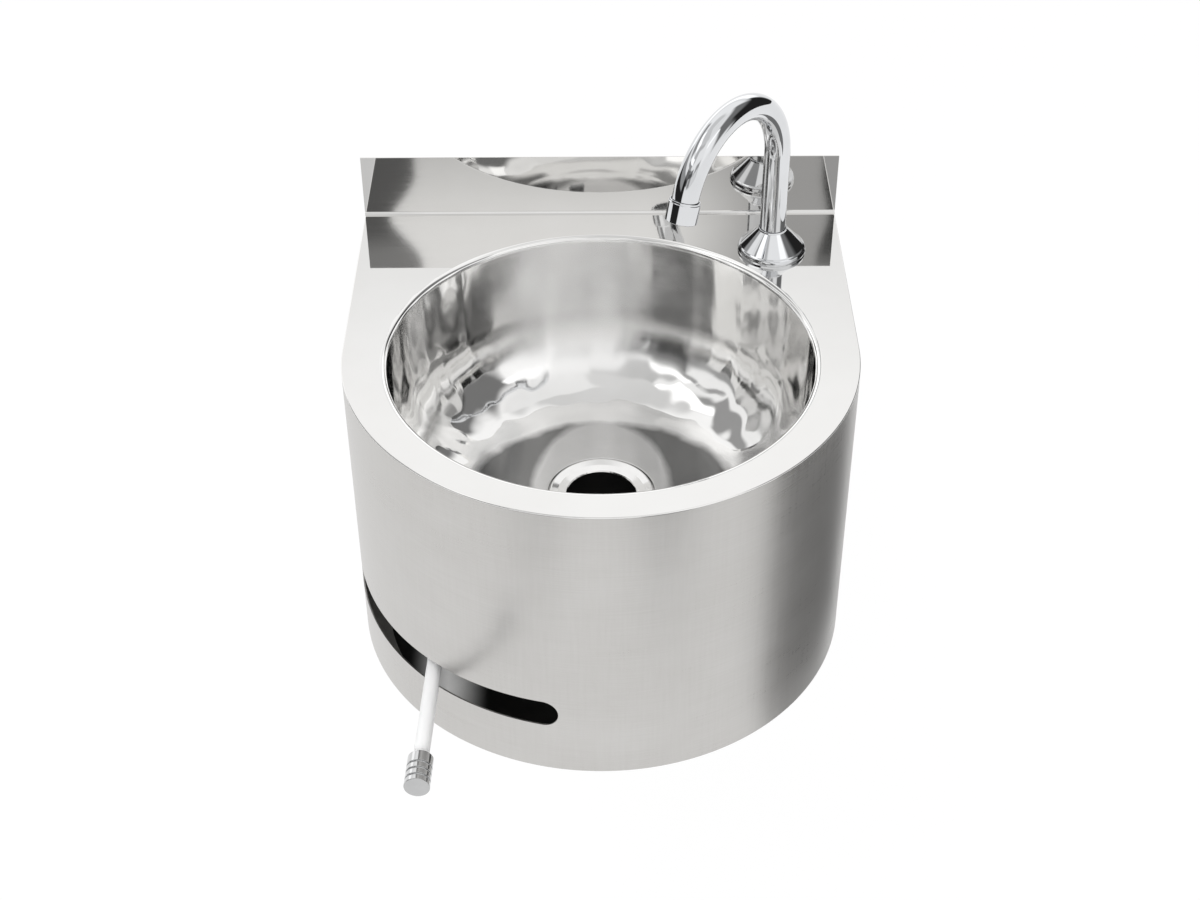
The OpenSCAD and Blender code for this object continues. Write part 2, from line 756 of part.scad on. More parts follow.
module pipe_olives() color(brass) {
    at_outlet() translate([0, 0, adaptor_hex_t + adaptor_thread_l]) olive();
    at_shank_foot() olive();
}

// Valve and its bracket, measured from the top of the valve body

module valve_screw_places() for (side = [-1, 1])
    translate([side * valve_screw_dx, valve_screw_dy, 0]) children();

module valve_bracket() color(steel) at_valve() difference() {
    wall_x = valve_x - front_r + sheet_t;
    union() {
        block([wall_x, -valve_front, 0], [inlet_dx, valve_back, bracket_plate_t]);
        block([wall_x, -valve_front, bracket_plate_t - bracket_leg_h], [wall_x + bracket_plate_t, valve_back, bracket_plate_t]);
    }
    valve_screw_places() translate([0, 0, -cut]) cylinder(r = valve_screw_r + part_gap, h = bracket_plate_t + 2 * cut);
}

module valve_screws() color(bright) at_valve() valve_screw_places() {
    translate([0, 0, -valve_screw_l + fit_gap]) cylinder(r = valve_screw_r, h = valve_screw_l + bracket_plate_t);
    translate([0, 0, bracket_plate_t]) difference() {
        cylinder(r = valve_screw_head_r, h = valve_screw_head_t);
        translate([0, 0, valve_screw_head_t - socket_d]) hex(socket_af, socket_d + cut);
    }
}

module inlet_sides() for (side = [-1, 1]) translate([side * inlet_dx, inlet_dy, 0]) children();

module valve_body() color(brass) at_valve() difference() {
    block([-valve_w / 2, -valve_front, -valve_h], [valve_w / 2, valve_back, 0]);
    translate([0, 0, -valve_h - cut]) cylinder(r = cartridge_r, h = valve_h - cartridge_roof + cut);
    inlet_sides() {
        translate([0, 0, -valve_h - cut]) cylinder(r = tail_spigot_r, h = tail_spigot_l + cut + fit_gap);
        translate([0, 0, -valve_h]) cylinder(r = tail_bore_r, h = valve_h - bore_drop);
    }
    for (side = [-1, 1]) {
        translate([side * port_dx, inlet_dy, -cartridge_roof - cut]) cylinder(r = port_r, h = cartridge_roof - bore_drop + cut);
        translate([side * port_dx, inlet_dy, -bore_drop]) rotate([0, side * 90, 0])
            cylinder(r = inlet_bore_r, h = inlet_dx - port_dx);
    }
    translate([0, -outlet_dy, -cartridge_roof - cut]) cylinder(r = port_r, h = cartridge_roof - bore_drop + cut);
    translate([0, -outlet_dy, -bore_drop]) rotate([0, 90, 0]) cylinder(r = outlet_bore_r, h = valve_w);
    translate([valve_w / 2 - adaptor_depth - fit_gap, -outlet_dy, -bore_drop]) rotate([0, 90, 0])
        cylinder(r = adaptor_r, h = adaptor_depth + cut);
    valve_screw_places() translate([0, 0, -valve_screw_l]) cylinder(r = valve_screw_r + fit_gap, h = valve_screw_l + cut);
}

module disc(r, drop) translate([0, 0, -drop - disc_t]) difference() {
    cylinder(r = r, h = disc_t);
    for (side = [-1, 1]) translate([side * port_dx, inlet_dy, -cut]) cylinder(r = port_r, h = disc_t + 2 * cut);
    translate([0, -outlet_dy, -cut]) cylinder(r = port_r, h = disc_t + 2 * cut);
}

module fixed_disc() color("white") at_valve() disc(cartridge_r - disc_gap, cartridge_roof);

module moving_disc() color("whitesmoke") at_valve() translate([0, 0, -fit_gap])
    disc(cartridge_r - moving_disc_gap, cartridge_roof + disc_t);

module valve_bonnet() color(brass) at_valve() difference() {
    union() {
        translate([0, 0, -valve_h]) cylinder(r = cartridge_r - fit_gap, h = valve_h - bonnet_top);
        translate([0, 0, -valve_h - bonnet_hex_t]) hex(bonnet_af, bonnet_hex_t);
        translate([0, 0, -valve_h - bonnet_hex_t - snout_h]) cylinder(r = snout_r, h = snout_h);
    }
    translate([0, 0, -hub_top]) cylinder(r = spindle_r + fit_gap, h = hub_top);
}

module spindle_ring_levels() for (k = [0, 1])
    translate([0, 0, -bonnet_top - spindle_ring_first - k * spindle_ring_step - spindle_ring_w]) children();

module valve_spindle() color("silver") at_valve() difference() {
    union() {
        translate([0, 0, -spindle_foot]) cylinder(r = spindle_r, h = spindle_foot - cartridge_roof - 2 * disc_t - fit_gap);
        translate([0, 0, -bonnet_top + fit_gap])
            cylinder(r = cartridge_r - spindle_flange_gap, h = spindle_flange_t - fit_gap);
    }
    spindle_ring_levels() ring(2 * spindle_r, spindle_r - spindle_ring_d, spindle_ring_w);
    translate([0, 0, -spindle_foot - cut]) cylinder(r = hub_screw_r + fit_gap, h = hub_screw_l + cut);
}

module spindle_orings() color(rubber) at_valve() spindle_ring_levels() translate([0, 0, fit_gap])
    ring(spindle_r, spindle_r - spindle_ring_d, spindle_ring_w - 2 * fit_gap);

// Centring spring: one tube swept along a helix round the snout of the bonnet
function spring_angle(i) = 360 * i / spring_steps;
function spring_point(i, j) =
    let (a = spring_angle(i), b = 360 * j / spring_sides, r = spring_r + spring_wire_r * cos(b))
    [r * cos(a), r * sin(a), spring_pitch * i / spring_steps + spring_wire_r * sin(b)];
spring_rings = spring_turns * spring_steps;
spring_gap = spring_pitch - 2 * spring_wire_r;
echo(spring_gap = spring_gap);

module centring_spring() color("silver") at_valve()
    translate([0, 0, -valve_h - bonnet_hex_t - spring_rest - spring_wire_r - spring_turns * spring_pitch])
    polyhedron(
        points = [for (i = [0 : spring_rings], j = [0 : spring_sides - 1]) spring_point(i, j)],
        faces = concat(
            [[for (j = [0 : spring_sides - 1]) j]],
            [for (i = [0 : spring_rings - 1], j = [0 : spring_sides - 1])
                let (k = (j + 1) % spring_sides, p = i * spring_sides, q = p + spring_sides) [p + j, q + j, q + k]],
            [for (i = [0 : spring_rings - 1], j = [0 : spring_sides - 1])
                let (k = (j + 1) % spring_sides, p = i * spring_sides, q = p + spring_sides) [p + j, q + k, p + k]],
            [[for (j = [spring_sides - 1 : -1 : 0]) spring_rings * spring_sides + j]]));

// Lever, measured from its axis

lever_end = (sink_d + lever_out - valve_from_wall) / cos(lever_turn);
knob_start = lever_end - knob_l;

module lever_hub() color("silver") difference() {
    union() {
        at_valve() translate([0, 0, -hub_top - hub_h]) cylinder(r = hub_r, h = hub_h);
        along_lever() rotate([0, 90, 0]) cylinder(r = boss_r, h = boss_out);
    }
    at_valve() translate([0, 0, -hub_top - hub_h - cut]) cylinder(r = spindle_r + fit_gap, h = hub_h + 2 * cut);
    along_lever() translate([socket_depth, 0, 0]) rotate([0, 90, 0]) cylinder(r = core_r + fit_gap, h = boss_out);
    along_lever() translate([-hub_r - cut, 0, 0]) rotate([0, 90, 0]) cylinder(r = grub_r + fit_gap, h = hub_r);
}

module hub_screw() color(bright) at_valve() translate([0, 0, -hub_top - hub_h]) {
    translate([0, 0, -hub_screw_head_t]) cylinder(r = hub_screw_head_r, h = hub_screw_head_t);
    cylinder(r = hub_screw_r, h = hub_screw_l);
}

module lever_grub() color("dimgray") along_lever() translate([-hub_r, 0, 0]) rotate([0, 90, 0])
    difference() {
        cylinder(r = grub_r, h = hub_r - spindle_r - 2 * fit_gap);
        translate([0, 0, -cut]) hex(grub_r, socket_d + cut);
    }

module lever_core() color("silver") along_lever() translate([socket_depth + fit_gap, 0, 0]) rotate([0, 90, 0])
    cylinder(r = core_r, h = knob_start + knob_seat - socket_depth - 2 * fit_gap);

module lever_sleeve() color("white") along_lever() translate([boss_out, 0, 0]) rotate([0, 90, 0])
    ring(sleeve_r, core_r + sleeve_gap, knob_start - boss_out);

module lever_knob() color("silver") along_lever() translate([knob_start, 0, 0]) rotate([0, 90, 0]) {
    groove_step = (knob_l - knob_band_l) / knob_grooves;
    difference() {
        rotate_extrude() polygon([[0, 0], [knob_r - knob_edge, 0], [knob_r, knob_edge], [knob_r, knob_l - knob_edge],
            [knob_r - knob_edge, knob_l], [0, knob_l]]);
        translate([0, 0, -cut]) cylinder(r = core_r + fit_gap, h = knob_seat + cut);
        for (k = [0 : knob_grooves - 1]) translate([0, 0, knob_band_l + k * groove_step])
            ring(knob_r + cut, knob_r - groove_d, groove_w);
    }
}

// Water inlets, measured from the underside of the valve body

module at_tail(side) at_valve() translate([side * inlet_dx, inlet_dy, -valve_h]) children();

module inlet_tail() difference() {
    union() {
        translate([0, 0, -tail_seal_t]) cylinder(r = tail_spigot_r - fit_gap, h = tail_spigot_l + tail_seal_t);
        translate([0, 0, -tail_seal_t - tail_hex_t]) hex(tail_hex_af, tail_hex_t);
        translate([0, 0, -tail_seal_t - tail_hex_t - tail_thread_l]) cylinder(r = inlet_r, h = tail_thread_l);
    }
    translate([0, 0, -tail_seal_t - tail_hex_t - tail_thread_l - cut])
        cylinder(r = tail_bore_r, h = tail_thread_l + tail_hex_t + tail_spigot_l + tail_seal_t + 2 * cut);
}

module hot_inlet_tail() color(brass) at_tail(-1) inlet_tail();

module cold_inlet_tail() color(brass) at_tail(1) inlet_tail();

module inlet_seals() color("firebrick") for (side = [-1, 1]) at_tail(side) translate([0, 0, -tail_seal_t])
    ring(tail_hex_af / 2, tail_spigot_r, tail_seal_t);

module inlet_filters() color("slategray") for (side = [-1, 1]) at_tail(side) translate([0, 0, -filter_t]) difference() {
    cylinder(r = tail_bore_r - fit_gap, h = filter_t);
    for (k = [1 : filter_holes]) rotate([0, 0, k * 360 / filter_holes])
        translate([tail_bore_r * filter_ring_share, 0, -cut]) cylinder(r = filter_hole_r, h = filter_t + 2 * cut, $fn = 16);
    translate([0, 0, -cut]) cylinder(r = filter_hole_r, h = filter_t + 2 * cut, $fn = 16);
}

deck_splashback();
bowl();
apron();
hanger_rail();
wall_bracket();
lock_screws();
lock_nuts();
base_panel();
panel_screws();
waste_body();
waste_top_seal();
waste_lower_seal();
waste_slip_washer();
waste_backnut();
spout_tube();
spout_keeper_screw();
spout_shank();
spout_orings();
spout_glide_ring();
spout_cone();
shank_gasket();
clamp_gasket();
clamp_washer();
spout_backnut();
aerator_collar();
aerator_insert();
aerator_washer();
outlet_pipe();
outlet_adaptor();
valve_pipe_nut();
spout_pipe_nut();
pipe_olives();
valve_bracket();
valve_screws();
valve_body();
fixed_disc();
moving_disc();
valve_bonnet();
valve_spindle();
spindle_orings();
centring_spring();
lever_hub();
hub_screw();
lever_grub();
lever_core();
lever_sleeve();
lever_knob();
hot_inlet_tail();
cold_inlet_tail();
inlet_seals();
inlet_filters();
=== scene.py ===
"""Stainless hand wash sink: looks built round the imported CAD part.

Lengths are in millimetres until MM scales them; material masks, stage, lamps and camera are in metres.
"""

import json
import math

import bmesh
import bpy
from mathutils import Matrix, Vector


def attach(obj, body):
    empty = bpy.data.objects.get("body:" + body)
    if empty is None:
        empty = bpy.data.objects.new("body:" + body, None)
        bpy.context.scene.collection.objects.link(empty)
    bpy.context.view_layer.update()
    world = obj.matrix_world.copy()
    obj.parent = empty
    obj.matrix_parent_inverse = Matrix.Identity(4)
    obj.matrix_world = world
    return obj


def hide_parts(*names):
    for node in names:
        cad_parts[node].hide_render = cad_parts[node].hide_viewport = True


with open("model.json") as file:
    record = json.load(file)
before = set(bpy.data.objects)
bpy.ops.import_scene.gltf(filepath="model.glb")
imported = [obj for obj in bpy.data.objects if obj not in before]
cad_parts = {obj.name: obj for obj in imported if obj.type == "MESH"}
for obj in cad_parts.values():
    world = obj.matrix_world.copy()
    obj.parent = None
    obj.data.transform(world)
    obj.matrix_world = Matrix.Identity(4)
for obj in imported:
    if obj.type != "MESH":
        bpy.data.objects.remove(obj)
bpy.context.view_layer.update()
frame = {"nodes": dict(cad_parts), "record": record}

MM = 0.001
TINY = 1e-6
DECK_Z = 90.0

# ---------------------------------------------------------------- sizes, as in the part
FRONT_R, ARC_Y, APRON_H, SPLASH_H = 200.0, -198.0, 260.0, 55.0
SHEET_T, FOLD_R, EDGE_R = 1.2, 2.5, 0.9
APRON_TOP, FLANGE_W, RETURN_W = -SHEET_T - 0.15, 18.0, 20.0
BOWL_Y, RIM_R, RIM_ROLL, WALL_R = -204.0, 170.0, 5.0, 165.0
FLOOR_R, CORNER_R, CORNER_Z = 99.0, 66.0, -71.5
SEAT_R, FLOOR_Z, SEAT_Z, WASTE_HOLE_R = 43.5, -140.0, -143.0, 31.0
WASTE_MOUTH_R, WASTE_MOUTH_Z = 28.7, SEAT_Z + 0.9
SPOUT = Vector((142.0, -58.0))
SPOUT_R, SPOUT_BORE, BEND_R = 10.58, 9.1, 65.0
SPOUT_FOOT, SPOUT_RISE, SPOUT_NOSE = 9.05, 90.0, 8.0
TURN, BEND = math.radians(37.8), math.radians(163.0)
SLOT_H, SLOT_Z = 25.0, -200.5
SLOT_NEAR, SLOT_FAR = math.radians(9.7), math.radians(82.0)
LEVER_X, LEVER_Y, LEVER_Z = -119.5, -51.0, -200.5
LEVER_TURN, KNOB_AHEAD = math.radians(2.3), 68.0
LEVER_END = (FRONT_R - ARC_Y + KNOB_AHEAD + LEVER_Y) / math.cos(LEVER_TURN)
SLEEVE_R, BOSS_OUT, LEVER_BORE = 6.0, 22.0, 4.1
KNOB_L, KNOB_R, KNOB_BORE_L = 28.0, 9.8, 14.0
GROOVES, GROOVES_FROM, GROOVE_W, GROOVE_DEPTH = 3, 9.4, 1.7, 1.3
KNOB_FACE_Y = ARC_Y - FRONT_R - KNOB_AHEAD + 0.55


# ---------------------------------------------------------------- node materials
class Nodes:
    """Short calls for building the nodes of one material, or of another node tree."""

    def __init__(self, name="", tree=None):
        self.tree = tree
        if tree is None:
            self.material = bpy.data.materials.new(name)
            self.material.use_nodes = True
            self.tree = self.material.node_tree
            self.shader = self.tree.nodes["Principled BSDF"]
            self.output = self.tree.nodes["Material Output"]

    def add(self, kind, inputs=None, **settings):
        """A node with its settings; each input takes a socket or a value."""
        node = self.tree.nodes.new(kind)
        for key, value in settings.items():
            setattr(node, key, value)
        for key, value in (inputs or {}).items():
            if isinstance(value, bpy.types.NodeSocket):
                self.tree.links.new(value, node.inputs[key])
            else:
                node.inputs[key].default_value = value
        return node

    def link(self, source, name):
        self.tree.links.new(source, self.shader.inputs[name])

    def set(self, **values):
        for key, value in values.items():
            self.shader.inputs[key.replace("_", " ")].default_value = value

    def surface(self, source):
        """Another shader in the place of the Principled one."""
        self.tree.links.new(source, self.output.inputs["Surface"])

    def here(self):
        """Object coordinates, in metres."""
        return self.add("ShaderNodeTexCoord").outputs["Object"]

    def axes(self):
        """Object coordinates as X, Y and Z."""
        split = self.add("ShaderNodeSeparateXYZ", {"Vector": self.here()})
        return [split.outputs[axis] for axis in "XYZ"]

    def noise(self, stretch, detail, rough):
        """Noise over the object coordinates, stretched along each axis."""
        vector = self.add("ShaderNodeMapping", {"Vector": self.here(), "Scale": stretch}).outputs["Vector"]
        inputs = {"Vector": vector, "Scale": 1.0, "Detail": detail, "Roughness": rough}
        return self.add("ShaderNodeTexNoise", inputs).outputs["Fac"]

    def span(self, value, low, high, start=0.3, stop=0.7):
        """value, clamped from start..stop to low..high."""
        inputs = {"Value": value, "From Min": start, "From Max": stop, "To Min": low, "To Max": high}
        return self.add("ShaderNodeMapRange", inputs).outputs["Result"]

    def near(self, value, middle, half, soft):
        """1 within half of middle, fading to 0 over soft."""
        off = self.math("ABSOLUTE", self.math("SUBTRACT", value, middle))
        inputs = {"Value": off, "From Min": half - soft / 2, "From Max": half + soft / 2, "To Min": 1.0, "To Max": 0.0}
        return self.add("ShaderNodeMapRange", inputs, interpolation_type="SMOOTHSTEP").outputs["Result"]

    def mix(self, fac, first, second):
        """A colour between first and second; each may be a socket or red, green and blue."""
        inputs = {"Factor": fac}
        for slot, colour in (("A", first), ("B", second)):
            inputs[slot] = (*colour, 1.0) if isinstance(colour, tuple) else colour
        return self.add("ShaderNodeMix", inputs, data_type="RGBA").outputs["Result"]

    def tint(self, value, dark, light, start=0.3, stop=0.7):
        """A colour from dark to light while value goes from start to stop."""
        return self.mix(self.span(value, 0.0, 1.0, start, stop), dark, light)

    def blend(self, fac, first, second):
        """A number between first and second; each may be a socket or a value."""
        inputs = {"Factor": fac, "A": first, "B": second}
        return self.add("ShaderNodeMix", inputs, data_type="FLOAT").outputs["Result"]

    def math(self, operation, first, second=0.0):
        return self.add("ShaderNodeMath", {0: first, 1: second}, operation=operation).outputs["Value"]

    def times(self, first, second):
        return self.math("MULTIPLY", first, second)

    def plus(self, first, second):
        return self.math("ADD", first, second)

    def bump(self, height, strength, distance):
        node = self.add("ShaderNodeBump", {"Height": height, "Strength": strength, "Distance": distance})
        self.link(node.outputs["Normal"], "Normal")

    def turned(self):
        """Grain that runs round the upright axis."""
        self.link(self.add("ShaderNodeTangent", direction_type="RADIAL", axis="Z").outputs["Tangent"], "Tangent")


def brushed_apron():
    m = Nodes("apron_brushed_steel")
    fine = m.noise((18.0, 18.0, 2400.0), 3.0, 0.7)
    cross = m.noise((420.0, 420.0, 22.0), 2.0, 0.6)
    cloud = m.noise((9.0, 9.0, 16.0), 3.0, 0.55)
    tone = m.plus(m.times(fine, 0.45), m.plus(m.times(cloud, 0.4), m.times(cross, 0.15)))
    m.link(m.tint(tone, (0.535, 0.524, 0.508), (0.600, 0.591, 0.577), 0.38, 0.62), "Base Color")
    m.link(m.span(tone, 0.27, 0.35, 0.38, 0.62), "Roughness")
    m.set(Metallic=1.0, Anisotropic=0.45)
    m.turned()
    m.bump(fine, 0.06, 0.00002)
    return m.material


def polished_sheet():
    m = Nodes("deck_polished_steel")
    haze = m.noise((9.0, 9.0, 9.0), 4.0, 0.6)
    fine = m.noise((6.0, 700.0, 700.0), 3.0, 0.7)
    m.link(m.tint(haze, (0.795, 0.788, 0.775), (0.825, 0.820, 0.810)), "Base Color")
    m.link(m.span(m.plus(m.times(fine, 0.6), m.times(haze, 0.4)), 0.012, 0.045), "Roughness")
    m.set(Metallic=1.0)
    m.bump(m.noise((7.0, 7.0, 7.0), 0.0, 0.4), 0.25, 0.00025)
    return m.material


def bowl_radius(m, x, y):
    """Distance from the bowl's upright axis, in metres."""
    y = m.math("SUBTRACT", y, BOWL_Y * MM)
    return m.math("SQRT", m.plus(m.times(x, x), m.times(y, y)))


def painted_floor_shade_mask(m, radius, x, cloud):
    """Painted shade on the bowl's floor: a dark ellipse, longer along X; a narrow ellipse within it, round the waste,
    is lighter, a painted reflection.
    """
    drift = m.times(m.math("SUBTRACT", cloud, 0.5), 0.020)
    square, across = m.times(radius, radius), m.times(x, x)
    wide = m.math("SQRT", m.math("SUBTRACT", square, m.times(across, 0.36)))
    narrow = m.math("SQRT", m.plus(square, m.times(across, 1.35)))
    painted_floor_shade = m.span(m.plus(wide, drift), 1.0, 0.0, 0.084, 0.092)
    # middle: the lighter painted reflection round the waste
    middle = m.span(m.plus(narrow, drift), 1.0, 0.0, 0.084, 0.094)
    return m.times(painted_floor_shade, m.blend(middle, 1.0, 0.40))


def polished_bowl():
    """Spun wall polished along its grooves, so reflections smear upright; satin at the back with a painted sheen, floor
    with painted shade and a painted reflection round the waste, mirror rim.
    """
    m = Nodes("bowl_polished_steel")
    x, y, _ = m.axes()
    radius = bowl_radius(m, x, y)
    waves = m.noise((40.0, 40.0, 3.5), 0.0, 0.3)
    lines = m.noise((9.0, 9.0, 1300.0), 2.0, 0.7)
    cloud = m.noise((16.0, 16.0, 16.0), 3.0, 0.6)
    tone = m.plus(m.times(lines, 0.25), m.times(cloud, 0.75))

    # masks: the wall between floor and rim, its back part, and the satin middle of that; the back part is painted near
    # white as a sheen, and its middle is made part diffuse so the sheen shows as light
    wall = m.times(m.span(radius, 0.0, 1.0, 0.095, 0.150), m.span(radius, 1.0, 0.0, 0.1653, 0.1662))
    behind = m.times(wall, m.span(y, 0.0, 1.0, (BOWL_Y + 118.0) * MM, (BOWL_Y + 152.0) * MM))
    satin_and_painted_sheen_core = m.near(x, -0.028, 0.050, 0.044)

    clean = m.tint(cloud, (0.805, 0.800, 0.790), (0.865, 0.861, 0.853))
    # painted shade: the floor is coloured dark where its reflections are dark; the floor stays polished in roughness
    painted_floor_shade = m.tint(cloud, (0.190, 0.189, 0.186), (0.225, 0.224, 0.221))
    # painted sheen: the back of the wall is coloured near white to brighten it like a reflection; its satin roughness
    # is real
    satin = m.tint(tone, (0.940, 0.935, 0.927), (0.980, 0.976, 0.969), 0.4, 0.6)
    ground = m.mix(painted_floor_shade_mask(m, radius, x, cloud), clean, painted_floor_shade)
    m.link(m.mix(behind, ground, satin), "Base Color")

    sides = m.blend(wall, m.span(cloud, 0.02, 0.05), m.span(cloud, 0.045, 0.085))
    back = m.blend(satin_and_painted_sheen_core, m.span(tone, 0.14, 0.20, 0.4, 0.6), m.span(tone, 0.22, 0.262, 0.4, 0.6))
    m.link(m.blend(behind, sides, back), "Roughness")
    # painted sheen: less metallic in the satin middle lets its near-white colour show as diffuse light
    m.link(m.blend(m.times(behind, satin_and_painted_sheen_core), 1.0, 0.78), "Metallic")
    m.link(m.times(wall, 0.97), "Anisotropic")
    m.set(Anisotropic_Rotation=0.25)
    m.turned()
    m.bump(m.times(waves, m.blend(behind, m.blend(wall, 0.04, 1.0), 0.25)), 1.0, 0.0026)
    return m.material


def waste_steel():
    """Polished flange; the bore below its mouth is painted near black as shade, and rough."""
    m = Nodes("waste_polished_steel")
    x, y, z = m.axes()
    haze = m.noise((60.0, 60.0, 60.0), 3.0, 0.6)
    within = m.math("LESS_THAN", bowl_radius(m, x, y), WASTE_MOUTH_R * MM)
    bore = m.times(within, m.math("LESS_THAN", z, (DECK_Z + WASTE_MOUTH_Z) * MM))
    flange = m.tint(haze, (0.78, 0.775, 0.765), (0.84, 0.836, 0.828))
    # painted shade: the bore is coloured near black where it lies in shadow; its high roughness is real
    painted_bore_shade = m.tint(haze, (0.010, 0.010, 0.010), (0.020, 0.019, 0.018))
    m.link(m.mix(bore, flange, painted_bore_shade), "Base Color")
    m.link(m.blend(bore, m.span(haze, 0.05, 0.09), m.span(haze, 0.55, 0.70)), "Roughness")
    m.set(Metallic=1.0)
    return m.material


def chrome():
    m = Nodes("bright_chrome")
    haze = m.noise((30.0, 30.0, 30.0), 3.0, 0.5)
    m.link(m.tint(haze, (0.690, 0.700, 0.716), (0.740, 0.749, 0.763)), "Base Color")
    m.link(m.span(haze, 0.015, 0.035), "Roughness")
    m.set(Metallic=1.0)
    return m.material


def knob_metal():
    """Chrome sides; the end face is fine turned and satin."""
    m = Nodes("knob_turned_chrome")
    face = m.math("LESS_THAN", m.axes()[1], KNOB_FACE_Y * MM)
    haze = m.noise((60.0, 60.0, 60.0), 3.0, 0.6)
    fine = m.noise((900.0, 900.0, 900.0), 3.0, 0.6)
    bright = m.tint(haze, (0.610, 0.612, 0.615), (0.680, 0.684, 0.690))
    satin = m.tint(haze, (0.500, 0.502, 0.504), (0.540, 0.543, 0.546))
    m.link(m.mix(face, bright, satin), "Base Color")
    m.link(m.blend(face, m.span(haze, 0.04, 0.08), m.span(fine, 0.22, 0.26)), "Roughness")
    m.set(Metallic=1.0)
    return m.material


def plain_metal(name, dark, light, rough_low, rough_high, grain=220.0):
    m = Nodes(name)
    cloud = m.noise((25.0, 25.0, 25.0), 4.0, 0.6)
    fine = m.noise((grain, grain, grain), 3.0, 0.6)
    m.link(m.tint(cloud, dark, light), "Base Color")
    m.link(m.span(m.plus(m.times(cloud, 0.5), m.times(fine, 0.5)), rough_low, rough_high), "Roughness")
    m.set(Metallic=1.0)
    m.bump(fine, 0.15, 0.00008)
    return m.material


def slot_painted_shade_and_glow():
    """Panel seen through the slot: painted near black as the shade inside the sink, with a painted highlight beside the
    lever that also glows.
    """
    m = Nodes("base_panel_painted_shade_and_glow")
    cloud = m.noise((30.0, 30.0, 30.0), 3.0, 0.6)
    # painted shade: dark is near black for the shade inside the hollow; painted highlight: light, with the emission
    # over the same mask, brightens and glows beside the lever though it is no lamp
    painted_glow_mask = m.near(m.axes()[0], (LEVER_X - 6.0) * MM, 0.014, 0.040)
    dark = m.tint(cloud, (0.014, 0.014, 0.014), (0.024, 0.024, 0.023))
    light = m.tint(cloud, (0.60, 0.60, 0.60), (0.74, 0.74, 0.73))
    m.link(m.mix(painted_glow_mask, dark, light), "Base Color")
    m.link(m.span(cloud, 0.30, 0.42), "Roughness")
    m.link(m.times(painted_glow_mask, m.span(cloud, 0.26, 0.34)), "Emission Strength")
    m.set(Metallic=0.6, Emission_Color=(1.0, 1.0, 0.99, 1.0))
    return m.material


def plain_plastic(name, dark, light, rough_low, rough_high, specular=0.5):
    m = Nodes(name)
    cloud = m.noise((40.0, 40.0, 40.0), 3.0, 0.5)
    fine = m.noise((700.0, 700.0, 700.0), 3.0, 0.6)
    m.link(m.tint(cloud, dark, light), "Base Color")
    m.link(m.span(fine, rough_low, rough_high), "Roughness")
    m.set(Specular_IOR_Level=specular)
    m.bump(fine, 0.1, 0.00005)
    return m.material


APRON_STEEL, SHEET_STEEL, BOWL_STEEL = brushed_apron(), polished_sheet(), polished_bowl()
WASTE_STEEL, SLOT_PAINTED_SHADE_AND_GLOW = waste_steel(), slot_painted_shade_and_glow()
CHROME, KNOB_METAL = chrome(), knob_metal()
BRIGHT_STEEL = plain_metal("bright_steel", (0.68, 0.68, 0.67), (0.76, 0.76, 0.75), 0.10, 0.20)
MILL_STEEL = plain_metal("mill_finish_steel", (0.42, 0.42, 0.41), (0.52, 0.52, 0.51), 0.38, 0.52)
ZINC = plain_metal("zinc_plate", (0.50, 0.52, 0.54), (0.62, 0.63, 0.64), 0.28, 0.45, 90.0)
BRASS = plain_metal("machined_brass", (0.66, 0.50, 0.22), (0.76, 0.60, 0.30), 0.18, 0.30)
BLACK_STEEL = plain_metal("blackened_steel", (0.05, 0.05, 0.055), (0.08, 0.08, 0.085), 0.30, 0.45)
RUBBER = plain_plastic("black_rubber", (0.014, 0.014, 0.015), (0.024, 0.024, 0.025), 0.55, 0.75, 0.35)
WHITE_PLASTIC = plain_plastic("white_sleeve_plastic", (0.93, 0.932, 0.935), (0.97, 0.97, 0.97), 0.28, 0.38)
IVORY_PLASTIC = plain_plastic("ivory_plastic", (0.74, 0.70, 0.60), (0.80, 0.76, 0.67), 0.40, 0.52)
GREY_PLASTIC = plain_plastic("grey_plastic", (0.20, 0.21, 0.22), (0.27, 0.28, 0.29), 0.40, 0.55)
CERAMIC = plain_plastic("lapped_ceramic", (0.84, 0.83, 0.80), (0.90, 0.89, 0.86), 0.15, 0.25)
RED_FIBRE = plain_plastic("red_fibre", (0.42, 0.06, 0.04), (0.52, 0.09, 0.06), 0.60, 0.80)

SLOT_MATERIALS = {
    "satin_steel": MILL_STEEL, "bright_steel": BRIGHT_STEEL, "zinc_steel": ZINC, "chrome": CHROME,
    "brass": BRASS, "rubber": RUBBER, "ivory_plastic": IVORY_PLASTIC, "white_plastic": WHITE_PLASTIC,
    "grey_plastic": GREY_PLASTIC, "ceramic": CERAMIC, "red_fibre": RED_FIBRE, "black_steel": BLACK_STEEL,
}
# the base panel takes the material with painted shade and a glowing painted highlight
for entry in frame["record"]["subparts"]:
    node = frame["nodes"][entry["node"]]
    for slot in node.material_slots:
        slot.material = SLOT_PAINTED_SHADE_AND_GLOW if entry["node"] == "base_panel" else SLOT_MATERIALS[entry["material_slot"]]


# ---------------------------------------------------------------- mesh helpers
SHARP = math.radians(35.0)


